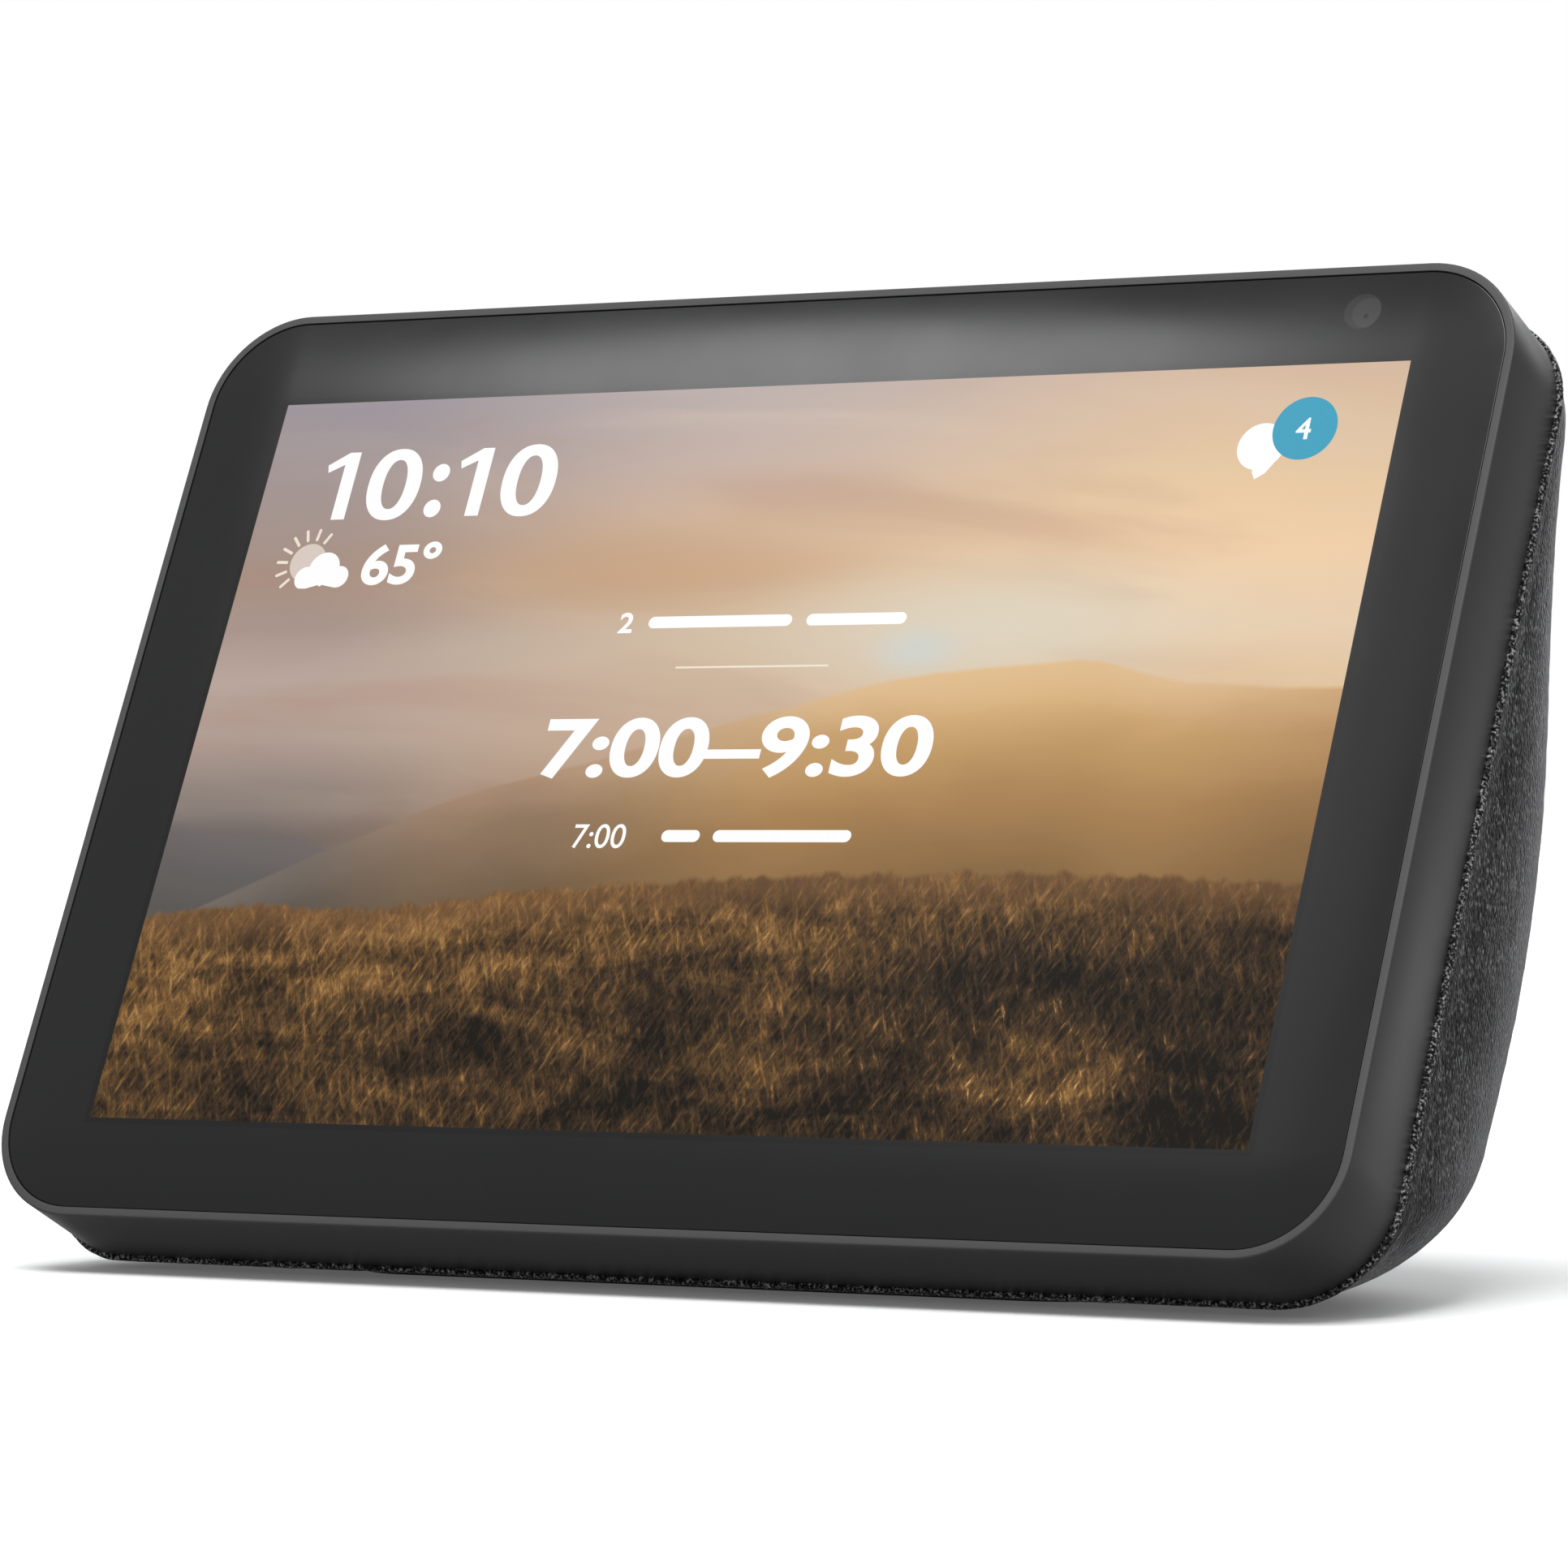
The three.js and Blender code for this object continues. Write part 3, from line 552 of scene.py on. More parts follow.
def hills(g, x, y, colour):
    """Hazy ridges: low grey ones at the left, and one that climbs to a bright peak at the right."""
    wobble = g.noise(g.stretched(x, y, 9.0, 0.0, 5.0), detail=4)
    far = g.curve(x, [(0, 0.4), (0.05, 0.39), (0.12, 0.38), (0.2, 0.35), (0.4, 0.3), (1, 0.3)])
    far = g.total(far, g.step(wobble, 0.2, 0.8, -0.008, 0.008))
    below = g.minus(far, y)
    tint = g.ramp(below, [(0.0, srgb(114, 108, 108)), (0.05, srgb(101, 97, 96)), (0.11, srgb(88, 86, 82))])
    colour = g.mix(g.step(below, -0.008, 0.012, 0.0, 0.85), colour, tint)
    ridge = g.curve(x, [
        (0, 0.25), (0.1, 0.325), (0.26, 0.433), (0.37, 0.482), (0.56, 0.563), (0.66, 0.598),
        (0.75, 0.611), (0.79, 0.613), (0.86, 0.588), (0.92, 0.576), (1, 0.574),
    ])
    ridge = g.total(ridge, g.step(wobble, 0.2, 0.8, -0.004, 0.004))
    below = g.minus(ridge, y)
    haze = g.noise(g.stretched(x, y, 5.0, 9.0, 1.0), detail=4)
    depth = g.total(below, g.step(haze, 0.2, 0.8, -0.02, 0.02))
    shade = g.ramp(depth, [(0.0, srgb(118, 108, 100)), (0.06, srgb(98, 90, 82)), (0.12, srgb(88, 80, 70))])
    dim = g.ramp(depth, [(0.0, srgb(178, 146, 120)), (0.07, srgb(146, 120, 96)), (0.17, srgb(108, 88, 66))])
    lit = g.ramp(depth, [
        (0.0, srgb(226, 190, 146)), (0.07, srgb(204, 162, 108)), (0.16, srgb(178, 136, 86)),
        (0.28, srgb(138, 106, 66)),
    ])
    tint = g.mix(g.step(x, 0.12, 0.3), shade, dim)
    tint = g.mix(g.step(x, 0.3, 0.62), tint, lit)
    tint = g.mix(g.step(x, 0.84, 1.02, 0.0, 0.6), tint, g.ramp(depth, [
        (0.0, srgb(204, 160, 112)), (0.12, srgb(146, 110, 72)), (0.25, srgb(112, 86, 54)),
    ]))
    crest = g.step(radius_from(g, x, y, 0.73, 0.6, 1.7), 0.0, 0.22, 0.5, 0.0)
    tint = g.mix(crest, tint, srgb(234, 196, 140))
    edge = g.step(x, 0.2, 0.5, 0.002, 0.003)
    mask = g.math("DIVIDE", g.total(below, edge), g.times(edge, 2.0), clamp=True)
    return g.mix(mask, colour, tint)


def strands(g, x, y, lean, fine, seed):
    """Long thin streaks that stand up and lean one way."""
    across = g.times(g.total(x, g.times(y, lean)), fine)
    return g.noise(g.vector(across, g.times(y, fine * 0.13), seed), detail=4, roughness=0.7)


def grass(g, x, y, colour):
    """Dry grass in the foreground: fine strands over darker clumps, brightest at the left."""
    tufts = g.noise(g.stretched(x, y, 60.0, 14.0, 2.0), detail=5)
    top = g.curve(x, [
        (0, 0.275), (0.1, 0.29), (0.2, 0.286), (0.35, 0.312), (0.53, 0.33), (0.77, 0.338),
        (0.9, 0.334), (1, 0.326),
    ])
    top = g.total(top, g.step(tufts, 0.25, 0.75, -0.006, 0.006))
    below = g.minus(top, y)
    blades = g.math("MAXIMUM", strands(g, x, y, -0.3, 230.0, 7.0), strands(g, x, y, 0.22, 200.0, 3.0))
    stalks = g.math("MAXIMUM", strands(g, x, y, -0.16, 96.0, 4.0), strands(g, x, y, 0.34, 80.0, 8.0))
    clumps = g.noise(g.stretched(x, y, 11.0, 17.0, 9.0), detail=4, roughness=0.6, distortion=0.5)
    shadow = g.total(radius_from(g, x, y, 0.82, 0.2, 2.0), g.step(clumps, 0.3, 0.7, 0.08, -0.08))
    seeds = radius_from(g, x, y, 0.82, 0.08, 1.2)
    corner = radius_from(g, x, y, 0.82, 0.09, 1.4)
    gold = g.times(g.step(blades, 0.6, 0.74), g.step(clumps, 0.35, 0.6))
    tone = g.total(
        g.times(blades, 0.66),
        g.times(clumps, 0.44),
        g.times(stalks, 0.34),
        g.step(x, 0.0, 0.6, -0.2, -0.23),
        g.step(x, 0.86, 0.97, 0.0, -0.05),
        g.step(below, 0.02, 0.32, 0.02, -0.07),
        g.step(shadow, 0.06, 0.2, -0.07, 0.0),
        g.step(seeds, 0.02, 0.12, 0.09, 0.0),
        g.times(gold, g.step(corner, 0.05, 0.2, 0.3, 0.04)),
    )
    warm = g.ramp(tone, [
        (0.38, srgb(26, 22, 17)), (0.48, srgb(62, 47, 32)), (0.56, srgb(98, 72, 43)),
        (0.63, srgb(138, 101, 58)), (0.71, srgb(178, 134, 80)), (0.82, srgb(220, 176, 112)),
    ])
    misted = g.mix(g.step(below, 0.0, 0.07, 0.45, 0.0), warm, srgb(146, 106, 68))
    return g.mix(g.step(below, -0.004, 0.006), colour, misted)


def picture():
    """The lit screen: dusk sky, hills and dry grass, shone from under the glass."""
    g = Graph("screen_picture")
    u, v, _ = g.parts(g.place())
    x = g.total(g.math("DIVIDE", u, 2 * PICTURE_HALF_U), 0.5)
    y = g.total(g.math("DIVIDE", v, 2 * PICTURE_HALF_V), 0.5)
    colour = grass(g, x, y, hills(g, x, y, sky(g, x, y)))
    g.set(Base_Color=grey(4), Emission_Color=colour, Emission_Strength=0.93)
    g.set(Roughness=GLASS_ROUGHNESS, Specular_IOR_Level=0.12)
    return g.material


def lit_ink(name, colour):
    """A lit figure on the screen, with the faint grid of the screen's dots."""
    g = Graph(name)
    dots = g.noise(scale=6.0, detail=1)
    bright = g.mix(g.step(dots, 0.3, 0.7), colour, [min(1.0, c * 1.04) for c in colour[:3]] + [1.0])
    g.set(Base_Color=grey(4), Emission_Color=bright, Emission_Strength=1.0)
    g.set(Roughness=GLASS_ROUGHNESS, Specular_IOR_Level=0.12)
    return g.material


def metal(name, colour, roughness, stretch=(1.0, 1.0, 12.0)):
    """Rolled or turned metal with fine drawn lines."""
    g = Graph(name)
    lines = g.noise(g.place(scale=stretch), scale=1.6, detail=4, roughness=0.6)
    g.set(Base_Color=g.ramp(lines, [(0.3, [c * 0.82 for c in colour[:3]] + [1.0]), (0.7, colour)]))
    g.set(Roughness=g.step(lines, 0.2, 0.8, roughness - 0.08, roughness + 0.08), Metallic=1.0)
    g.bump(lines, 0.01)
    return g.material


def circuit_board():
    """Green solder mask over copper tracks, with pale printed pads."""
    g = Graph("circuit_board")
    tracks = g.cells(g.place(), scale=0.55, output="Distance", randomness=0.35)
    pads = g.cells(g.place(offset=(3.0, 1.0, 0.0)), scale=0.8, output="Distance", randomness=0.9)
    colour = g.mix(g.step(tracks, 0.4, 0.46), srgb(18, 84, 50), srgb(30, 112, 66))
    colour = g.mix(g.step(pads, 0.14, 0.1), colour, srgb(186, 176, 142))
    g.set(Base_Color=colour, Roughness=0.38)
    g.bump(tracks, 0.04)
    return g.material


def flex_cable():
    """Amber film over straight copper tracks."""
    g = Graph("flex_cable")
    across, _, _ = g.parts(g.place())
    stripe = g.math("FRACT", g.times(across, 1.4))
    g.set(Base_Color=g.mix(g.step(stripe, 0.4, 0.5), srgb(186, 112, 44), srgb(120, 66, 22)))
    g.set(Roughness=0.35, Metallic=0.3)
    g.bump(stripe, 0.02)
    return g.material


def rubber():
    """Matt rubber with a dusty bloom."""
    g = Graph("rubber")
    bloom = g.noise(scale=0.5, detail=5, roughness=0.6)
    g.set(Base_Color=g.ramp(bloom, [(0.3, grey(20)), (0.75, grey(32))]))
    g.set(Roughness=g.step(bloom, 0.2, 0.8, 0.72, 0.88))
    g.bump(g.noise(scale=3.0, detail=3), 0.03)
    return g.material


def cone_paper():
    """Pressed pulp with long fibres."""
    g = Graph("cone_paper")
    fibre = g.noise(scale=1.4, detail=6, roughness=0.75, distortion=1.2)
    g.set(Base_Color=g.ramp(fibre, [(0.3, grey(28)), (0.7, grey(52))]), Roughness=0.85)
    g.bump(fibre, 0.08)
    return g.material


def foam():
    """Open black foam tape."""
    g = Graph("foam_tape")
    pores = g.cells(g.place(), scale=2.4)
    g.set(Base_Color=g.ramp(pores, [(0.1, grey(10)), (0.6, grey(34))]), Roughness=0.95)
    g.bump(pores, 0.15)
    return g.material


def lens_glass():
    """Coated lens glass with a faint violet bloom."""
    g = Graph("lens_glass")
    ring = g.noise(scale=0.4, detail=1)
    g.set(Base_Color=g.ramp(ring, [(0.3, srgb(10, 10, 18)), (0.7, srgb(26, 18, 40))]))
    g.set(Roughness=0.06, Coat_Weight=1.0, Coat_Roughness=0.03)
    return g.material


MATERIALS = {
    "frame_plastic": frame_plastic(),
    "button_plastic": plastic("button_plastic", grey(50), grey(55), 0.36),
    "inner_plastic": plastic("inner_plastic", grey(34), grey(42), 0.5, grain=0.35, depth=0.03),
    "port_plastic": plastic("port_plastic", grey(30), grey(36), 0.45),
    "glass_black": glass_border(),
    "screen": picture(),
    "fabric": knit(),
    "rubber": rubber(),
    "foam": foam(),
    "lens_glass": lens_glass(),
    "steel": metal("pressed_steel", grey(196), 0.34),
    "switch_metal": metal("switch_metal", grey(205), 0.3),
    "aluminium": metal("rolled_aluminium", grey(214), 0.38, stretch=(1.0, 9.0, 1.0)),
    "circuit_board": circuit_board(),
    "flex_copper": flex_cable(),
    "cone_paper": cone_paper(),
}


def dress_cad_nodes():
    """Every CAD node that stays takes the material of its slot."""
    slots = {part["node"]: part["material_slot"] for part in frame["record"]["subparts"]}
    for name, node in frame["nodes"].items():
        node.data.materials.clear()
        node.data.materials.append(MATERIALS[slots[name]])


# -- front frame and glass
def front_frame():
    """The moulded frame: a flat lip just proud of the glass, with a soft outer edge, and the plain band."""
    inner = HALF_U - GLASS_HALF_U - 0.1
    seat_front, seat_back = -2.1, -3.3  # the ledge that the glass's tape sits on
    ledge, wall = 3.2, 2.0
    profile = [
        (0.35, -BAND), (0.1, -BAND + 0.1), (0.0, -BAND + 0.35), *round_edge(0.26, LIP),
        (inner - 0.03, LIP), (inner, LIP - 0.03), (inner, seat_front), (ledge, seat_front),
        (ledge, seat_back), (wall, seat_back), (wall, -BAND),
    ]
    rings = outline_rings(profile, HALF_U, HALF_V, CORNER, arc=20)
    faces = ring_faces(len(rings), len(rings[0]), closed=True)
    piece = make_object("front_frame_shell", np.vstack(rings), faces, HEAD)
    carve(piece, top_openings())
    finish_piece(piece, "housing", "frame_plastic", ["front_frame"])


def top_openings():
    """Tools that open the band's top face for the buttons, the microphones and the shutter's knob."""
    inside, outside = 60, 72
    gap = 0.3  # round a button's cap
    pin_hole = 0.55
    slot_start, slot_end, slot_half = 64, 74.4, 0.9
    half_length, half_depth = BUTTON_HALF
    tools = []
    for _, u in BUTTONS:
        tools.append(bar("tool", half_length + gap, half_depth + gap, 0, inside, outside, u))
    for u in MIC_PLACES:
        tools.append(round_bar("tool", pin_hole, (u, inside, TOP_CENTRE), (u, outside, TOP_CENTRE), 24, HEAD))
    middle = (TRACK["u0"] + TRACK["u1"]) / 2
    reach = (TRACK["u1"] - TRACK["u0"]) / 2
    tools.append(bar("tool", reach, TRACK["half_depth"], 0, TRACK["floor"], outside, middle))
    low = (slot_start, inside, TOP_CENTRE - slot_half)
    tools.append(block("tool", low, (slot_end, outside, TOP_CENTRE + slot_half), HEAD))
    return tools


def cover_glass():
    """Glass with a black printed border; the lit picture fills the window in it."""
    profile = [(0.15, -GLASS_THICKNESS), (0.0, -GLASS_THICKNESS + 0.15), *round_edge(0.14, 0.0, steps=5)]
    rings = outline_rings(profile, GLASS_HALF_U, GLASS_HALF_V, GLASS_RADIUS, arc=20)
    rings.append(at_depth(rounded(PICTURE_HALF_U, PICTURE_HALF_V, 0.08, arc=20), 0.0))
    piece = solid("cover_glass_sheet", rings, HEAD)
    finish_piece(piece, "housing", "glass_black", ["cover_glass"])
    piece.data.materials.append(MATERIALS["screen"])
    picture_face = piece.data.polygons[-1]
    picture_face.material_index = 1


# -- what the screen shows
def figures(name, text, size, left, base, material, weight, align="LEFT", wide=1.0, lift=INK_LIFT + 0.01):
    """Numerals standing on base, from left, as thin lit shapes on the glass; weight thickens the strokes."""
    curve = bpy.data.curves.new(name, "FONT")
    curve.body = text
    curve.size = size * MM
    curve.bevel_depth = weight * MM
    curve.align_x = align
    source = add_object(name, curve)
    bpy.context.view_layer.update()
    mesh = bpy.data.meshes.new_from_object(source.evaluated_get(bpy.context.evaluated_depsgraph_get()))
    bpy.data.objects.remove(source)
    flattened = 0.02
    mesh.transform(Matrix.Diagonal((wide, 1, flattened, 1)))
    piece = add_object(name, mesh)
    piece.matrix_world = HEAD @ Matrix.Translation((left * MM, base * MM, lift * MM))
    finish_piece(piece, "housing", "screen", material=material, angle=None)


def flat_shape(name, outline, material, lift=INK_LIFT):
    """A thin lit shape on the glass from its (u, v) outline."""
    piece = solid(name, [at_depth(outline, w) for w in (lift, lift + INK_THICKNESS)], HEAD)
    finish_piece(piece, "housing", "screen", material=material, angle=None)


def clock_one(name, left, base, material):
    """A figure one: an upright stem with a flag at its top left."""
    stem = np.array([(0, 0), (2.2, 0), (2.2, 10.4), (0.4, 10.4), (-2.8, 8.5), (-2.5, 7.35), (0, 8.55)])
    flat_shape(name, stem + np.array([left, base]), material)


def clock_zero(name, centre, material):
    """A figure nought: an upright oval ring, thick at its sides."""
    turn = circle(1.0, (0.0, 0.0), sides=72)
    turn = np.sign(turn) * np.abs(turn) ** 0.9
    outer = np.array(centre) + turn * np.array([4.3, 5.5])
    inner = np.array(centre) + turn * np.array([1.85, 3.8])
    low, high = INK_LIFT, INK_LIFT + INK_THICKNESS
    rings = [at_depth(outer, low), at_depth(outer, high), at_depth(inner, high), at_depth(inner, low)]
    piece = make_object(name, np.vstack(rings), ring_faces(4, len(turn), closed=True), HEAD)
    finish_piece(piece, "housing", "screen", material=material, angle=None)


def clock_face(material):
    """Ten past ten in large figures."""
    for index, left in enumerate((-73.6, -51.6)):
        clock_one(f"clock_one_{index + 1}", left, CLOCK_BASE, material)
        clock_zero(f"clock_zero_{index + 1}", (left + 9.1, CLOCK_BASE + 5.2), material)
    for index, v in enumerate((1.3, 6.8)):
        flat_shape(f"clock_dot_{index + 1}", circle(1.35, (-57.2, CLOCK_BASE + v)), material)


def dash(name, u0, u1, v, material, height=WORD_HEIGHT):
    """A round ended dash that stands for a word."""
    half = (u1 - u0) / 2
    outline = rounded(half, height / 2, height / 2 - 1e-3, arc=8) + np.array([(u0 + u1) / 2, v])
    flat_shape(name, outline, material)


def circle(radius, centre, start=0, end=360, sides=48):
    """Points round a circle, or an arc of it, from and to these angles in degrees."""
    angles = np.radians(np.linspace(start, end, sides, endpoint=end - start < 360))
    return np.array(centre) + radius * np.column_stack([np.cos(angles), np.sin(angles)])


def union_outline(circles, base, sides=120):
    """The outline of round blobs that stand on one base line, seen from a point among them."""
    centres = np.array([c for _, c in circles])
    radii = np.array([r for r, _ in circles])
    heart = np.array([centres[:, 0].mean(), base + 0.6])
    outline = []
    for angle in np.linspace(0, 2 * math.pi, sides, endpoint=False):
        ray = np.array([math.cos(angle), math.sin(angle)])
        along = (centres - heart) @ ray
        away = ((centres - heart) ** 2).sum(1) - along**2
        hits = along + np.sqrt(np.clip(radii**2 - away, 0, None))
        far = hits[away <= radii**2].max(initial=0.3)
        if ray[1] < 0:
            far = min(far, (base - heart[1]) / ray[1])
        outline.append(heart + ray * far)
    return np.array(outline)


def weather(white, soft, pale):
    """A sun half behind a cloud, beside the temperature."""
    figures("temperature_figures", "65°", 8.2, -66.2, 25.5, white, 0.22, wide=1.12)
    sun = (-75.4, 28.9)
    flat_shape("sun_disc", circle(2.9, sun, 20, 262), pale)
    for index in range(8):
        turn = math.radians(58 + 24 * index)
        ray = rounded(0.95, 0.22, 0.2, arc=4)
        along = np.array([[math.cos(turn), math.sin(turn)], [-math.sin(turn), math.cos(turn)]])
        flat_shape(f"sun_ray_{index + 1}", ray @ along + np.array(sun) + 4.3 * along[0], soft)
    puffs = [(1.75, (-75.1, 26.5)), (2.5, (-72.4, 27.9)), (1.65, (-69.7, 26.6))]
    flat_shape("cloud", union_outline(puffs, 24.9), white, lift=BADGE_LIFT)


def event(white, soft):
    """An event's count, its large time range and its smaller time, with dashes for the words."""
    figures("event_count", "2", 4.1, -22.2, 17.3, white, 0.1, wide=1.1)
    dash("event_word_1", -17.6, 4.4, 18.7, white)
    dash("event_word_2", 6.6, 21.6, 18.7, white)
    dash("event_line", -11.7, 11.6, 12.0, soft, height=0.28)
    figures("event_figures", "7:00–9:30", 11.6, 0.2, -3.6, white, 0.3, "CENTER", wide=1.3)
    figures("event_time", "7:00", 4.9, -21.2, -14.1, white, 0.02)
    dash("event_word_3", -7.4, -1.6, -12.4, white)
    dash("event_word_4", 0.4, 21.0, -12.4, white)


def message_count(white):
    """A speech bubble with a round badge and its figure."""
    speech = circle(3.35, (67.6, 42.2), -45, 260)
    tail = np.array([(67.1, 38.4), (67.6, 37.5), (68.9, 38.3)])
    flat_shape("speech_bubble", np.vstack([speech, tail]), white)
    teal = lit_ink("lit_teal", srgb(64, 160, 190))
    flat_shape("count_badge", circle(4.5, (73.3, 44.6), sides=64), teal, lift=BADGE_LIFT)
    figures("badge_figure", "4", 4.3, 73.2, 43.05, white, 0.06, "CENTER", lift=BADGE_LIFT + 0.05)


def screen_graphics():
    """Clock, weather, an event and a message count."""
    white = lit_ink("lit_white", grey(250))
    soft = lit_ink("lit_soft_white", srgb(236, 224, 208))
    pale = lit_ink("lit_pale", srgb(214, 200, 190))
    clock_face(white)
    weather(white, soft, pale)
    event(white, soft)
    message_count(white)


# -- buttons and shutter
def top_buttons():
    """Pill shaped caps with a raised plus, minus and circle."""
    half_length, half_depth = BUTTON_HALF
    sign_low, sign_high = HALF_V + 0.4, HALF_V + 0.56
    for name, u in BUTTONS:
        cap = bar(name, half_length, half_depth, 0.45, 65.1, HALF_V + BUTTON_RISE, u, arc=14)
        flange = block("flange", (u - 7.2, 64.9, TOP_CENTRE - 2.9), (u + 7.2, 65.6, TOP_CENTRE + 2.9), HEAD)
        parts = [cap, flange]
        if name == "privacy":
            parts.append(bar("sign", 0.9, 0.9, 0.08, sign_low, sign_high, u, arc=12))
        else:
            parts.append(bar("sign", 1.05, 0.2, 0.06, sign_low, sign_high, u, arc=6))
        if name == "volume_up":
            low = (u - 0.2, sign_low, TOP_CENTRE - 1.05)
            high = (u + 0.2, sign_high - 0.005, TOP_CENTRE + 1.05)
            parts.append(block("sign", low, high, HEAD))
        piece = join(parts, f"{name}_cap")
        body = f"{name}_button"
        finish_piece(piece, body, "button_plastic", [body])


def camera_shutter():
    """The sliding knob with three grip ribs, its neck, its arm and the blade beside the lens."""
    parts = [bar("knob", 5.2, 1.5, 0.35, TRACK["floor"] + 0.3, HALF_V + 0.95, KNOB_U, arc=14)]
    for step in (-1, 0, 1):
        rib_u = KNOB_U + 1.3 * step
        parts.append(bar("rib", 0.28, 1.0, 0.12, HALF_V + 0.9, HALF_V + 1.15, rib_u, arc=6))
    left, right = KNOB_U - ARM_HALF, KNOB_U + ARM_HALF
    parts.append(block("neck", (left, 62.4, TOP_CENTRE - 0.6), (right, 67.7, TOP_CENTRE + 0.8), HEAD))
    parts.append(block("arm", (left, 62.4, TOP_CENTRE + 0.6), (right, 64.2, -1.4), HEAD))
    parts.append(block("blade", (KNOB_U + 0.9, 58.2, -1.8), (KNOB_U + 7.5, 64.2, -1.4), HEAD))
    piece = join(parts, "camera_shutter_slider")
    finish_piece(piece, "camera_shutter", "button_plastic", ["camera_shutter"])


# -- the wrapped body
def to_world(points):
    """Points in the head's directions, placed in the world, in millimetres."""
    turn = np.array(HEAD.to_3x3())
    return points @ turn.T + np.array([0.0, HEAD_Y, HEAD_Z])


def form_rings(inset, steps, **points_along):
    """Rings from the band's back edge to the pole of the back, as the CAD model's body runs."""
    half_u, half_v, radius = HALF_U - inset, HALF_V - inset, CORNER - inset
    rim = rounded(half_u, half_v, radius, **points_along)
    rear = rounded(half_u, half_v, radius, REAR_LOWER_RADIUS - inset, **points_along)
    start = to_world(at_depth(rim, -BAND))
    corner = to_world(at_depth(rear, -BAND))
    rear_y = REAR_Y - inset
    drop = (rear_y - corner[:, 1]) * math.tan(LEAN) * (rear[:, 1] + half_v) / (2 * half_v)
    corner = np.column_stack([corner[:, 0], np.full(len(corner), rear_y), corner[:, 2] - drop])
    pole = np.array([0.0, rear_y, REAR_POLE])
    oval, angle = rear_oval(corner, half_u, rear_y)
    end = np.where(np.sin(angle) > 0, FULL_TOP, FULL_UNDERSIDE)
    power = (FULL_SIDE + (end - FULL_SIDE) * (1 - np.cos(angle) ** FULL_EASE))[:, None]
    rings = []
    for i in range(steps):
        along = math.sin(i / steps * math.pi / 2)
        turn = 1 - (1 - along**power) ** (1 / power)
        target = corner + (oval - corner) * turn**OVAL_ONSET
        rings.append(start + (target - start) * along + (pole - target) * turn)
    return rings, pole


def rear_oval(corner, half_u, rear_y):
    """The oval that the corners soften to, and the angle of each of its points round the pole."""
    above = corner[:, 2].max() - REAR_POLE
    below = REAR_POLE - corner[:, 2].min()
    reach = np.where(corner[:, 2] > REAR_POLE, above, below)
    angle = np.arctan2((corner[:, 2] - REAR_POLE) / reach, corner[:, 0] / half_u)
    powers = np.abs(np.cos(angle)) ** OVAL_POWER + np.abs(np.sin(angle)) ** OVAL_POWER
    size = powers ** (-1 / OVAL_POWER)
    x = size * np.cos(angle) * half_u
    z = REAR_POLE + size * np.sin(angle) * reach
    return np.column_stack([x, np.full(len(angle), rear_y), z]), angle


def fan(first, count, centre, reverse=False):
    """Triangles from a ring to a point."""
    faces = [(first + k, first + (k + 1) % count, centre) for k in range(count)]
    return [face[::-1] for face in faces] if reverse else faces


def form_solid(name, inset, steps=28):
    """The body's form as one closed solid."""
    rings, pole = form_rings(inset, steps, arc=10, side=16, flat=26)
    count = len(rings[0])
    faces = ring_faces(steps, count)
    faces.append(tuple(range(count))[::-1])
    faces += fan((steps - 1) * count, count, steps * count)
    return make_object(name, np.vstack([*rings, pole]), faces)


def base_slab(name, margin, z0, z1, edge=0.0, arc=16):
    """The base's outline grown by margin, between two heights, with its lower edge rounded."""
    low, high = cad_box("rubber_foot")
    half_y = (high.y - low.y) / 2
    profile = [(0.0, z1)] + round_edge(edge, z0, side=-1)
    rings = outline_rings(profile, high.x + margin, half_y + margin, 12.0 + margin, arc=arc)
    middle = np.array([0.0, (low.y + high.y) / 2, 0.0])
    return solid(name, [ring + middle for ring in rings])


def fabric_cover():
    """The knit, stretched over the housing: a rolled front edge, and windows for the base and sockets."""
    outside, inside = -0.12, 0.9
    outer, outer_pole = form_rings(outside, 64, **FINE_RIM)
    inner, inner_pole = form_rings(inside, 12, **FINE_RIM)
    lip = [
        (inside, -BAND - 0.45), (0.3, -BAND - 0.1), (-0.1, -BAND - 0.06), (-0.42, -BAND - 0.22),
        (-0.55, -BAND - 0.6),
    ]
    lip_rings = [to_world(ring) for ring in outline_rings(lip, HALF_U, HALF_V, CORNER, **FINE_RIM)]
    rings = inner[:0:-1] + lip_rings + outer[2:]
    points = np.vstack(rings)
    count = len(rings[0])
    roughen(points[len(inner) * count:])
    faces = ring_faces(len(rings), count)
    faces += fan(0, count, len(points), reverse=True)
    faces += fan((len(rings) - 1) * count, count, len(points) + 1)
    piece = make_object("fabric_wrap", np.vstack([points, inner_pole, outer_pole]), faces)
    low, high = cad_box("port_plate")
    gap = 0.3
    window = block("tool", (low.x - gap, 20, low.z - gap), (high.x + gap, 60, high.z + gap))
    carve(piece, [window, base_slab("tool", 2.9, -5, 14)])
    finish_piece(piece, "housing", "fabric", ["fabric_cover"], angle=60)


def roughen(points):
    """Moves the knit's outer points in and out a little, in place."""
    outward = points - np.array([0.0, 0.0, REAR_POLE])
    outward /= np.linalg.norm(outward, axis=1)[:, None]
    points += outward * np.random.default_rng(8).normal(0, 0.03, len(points))[:, None]


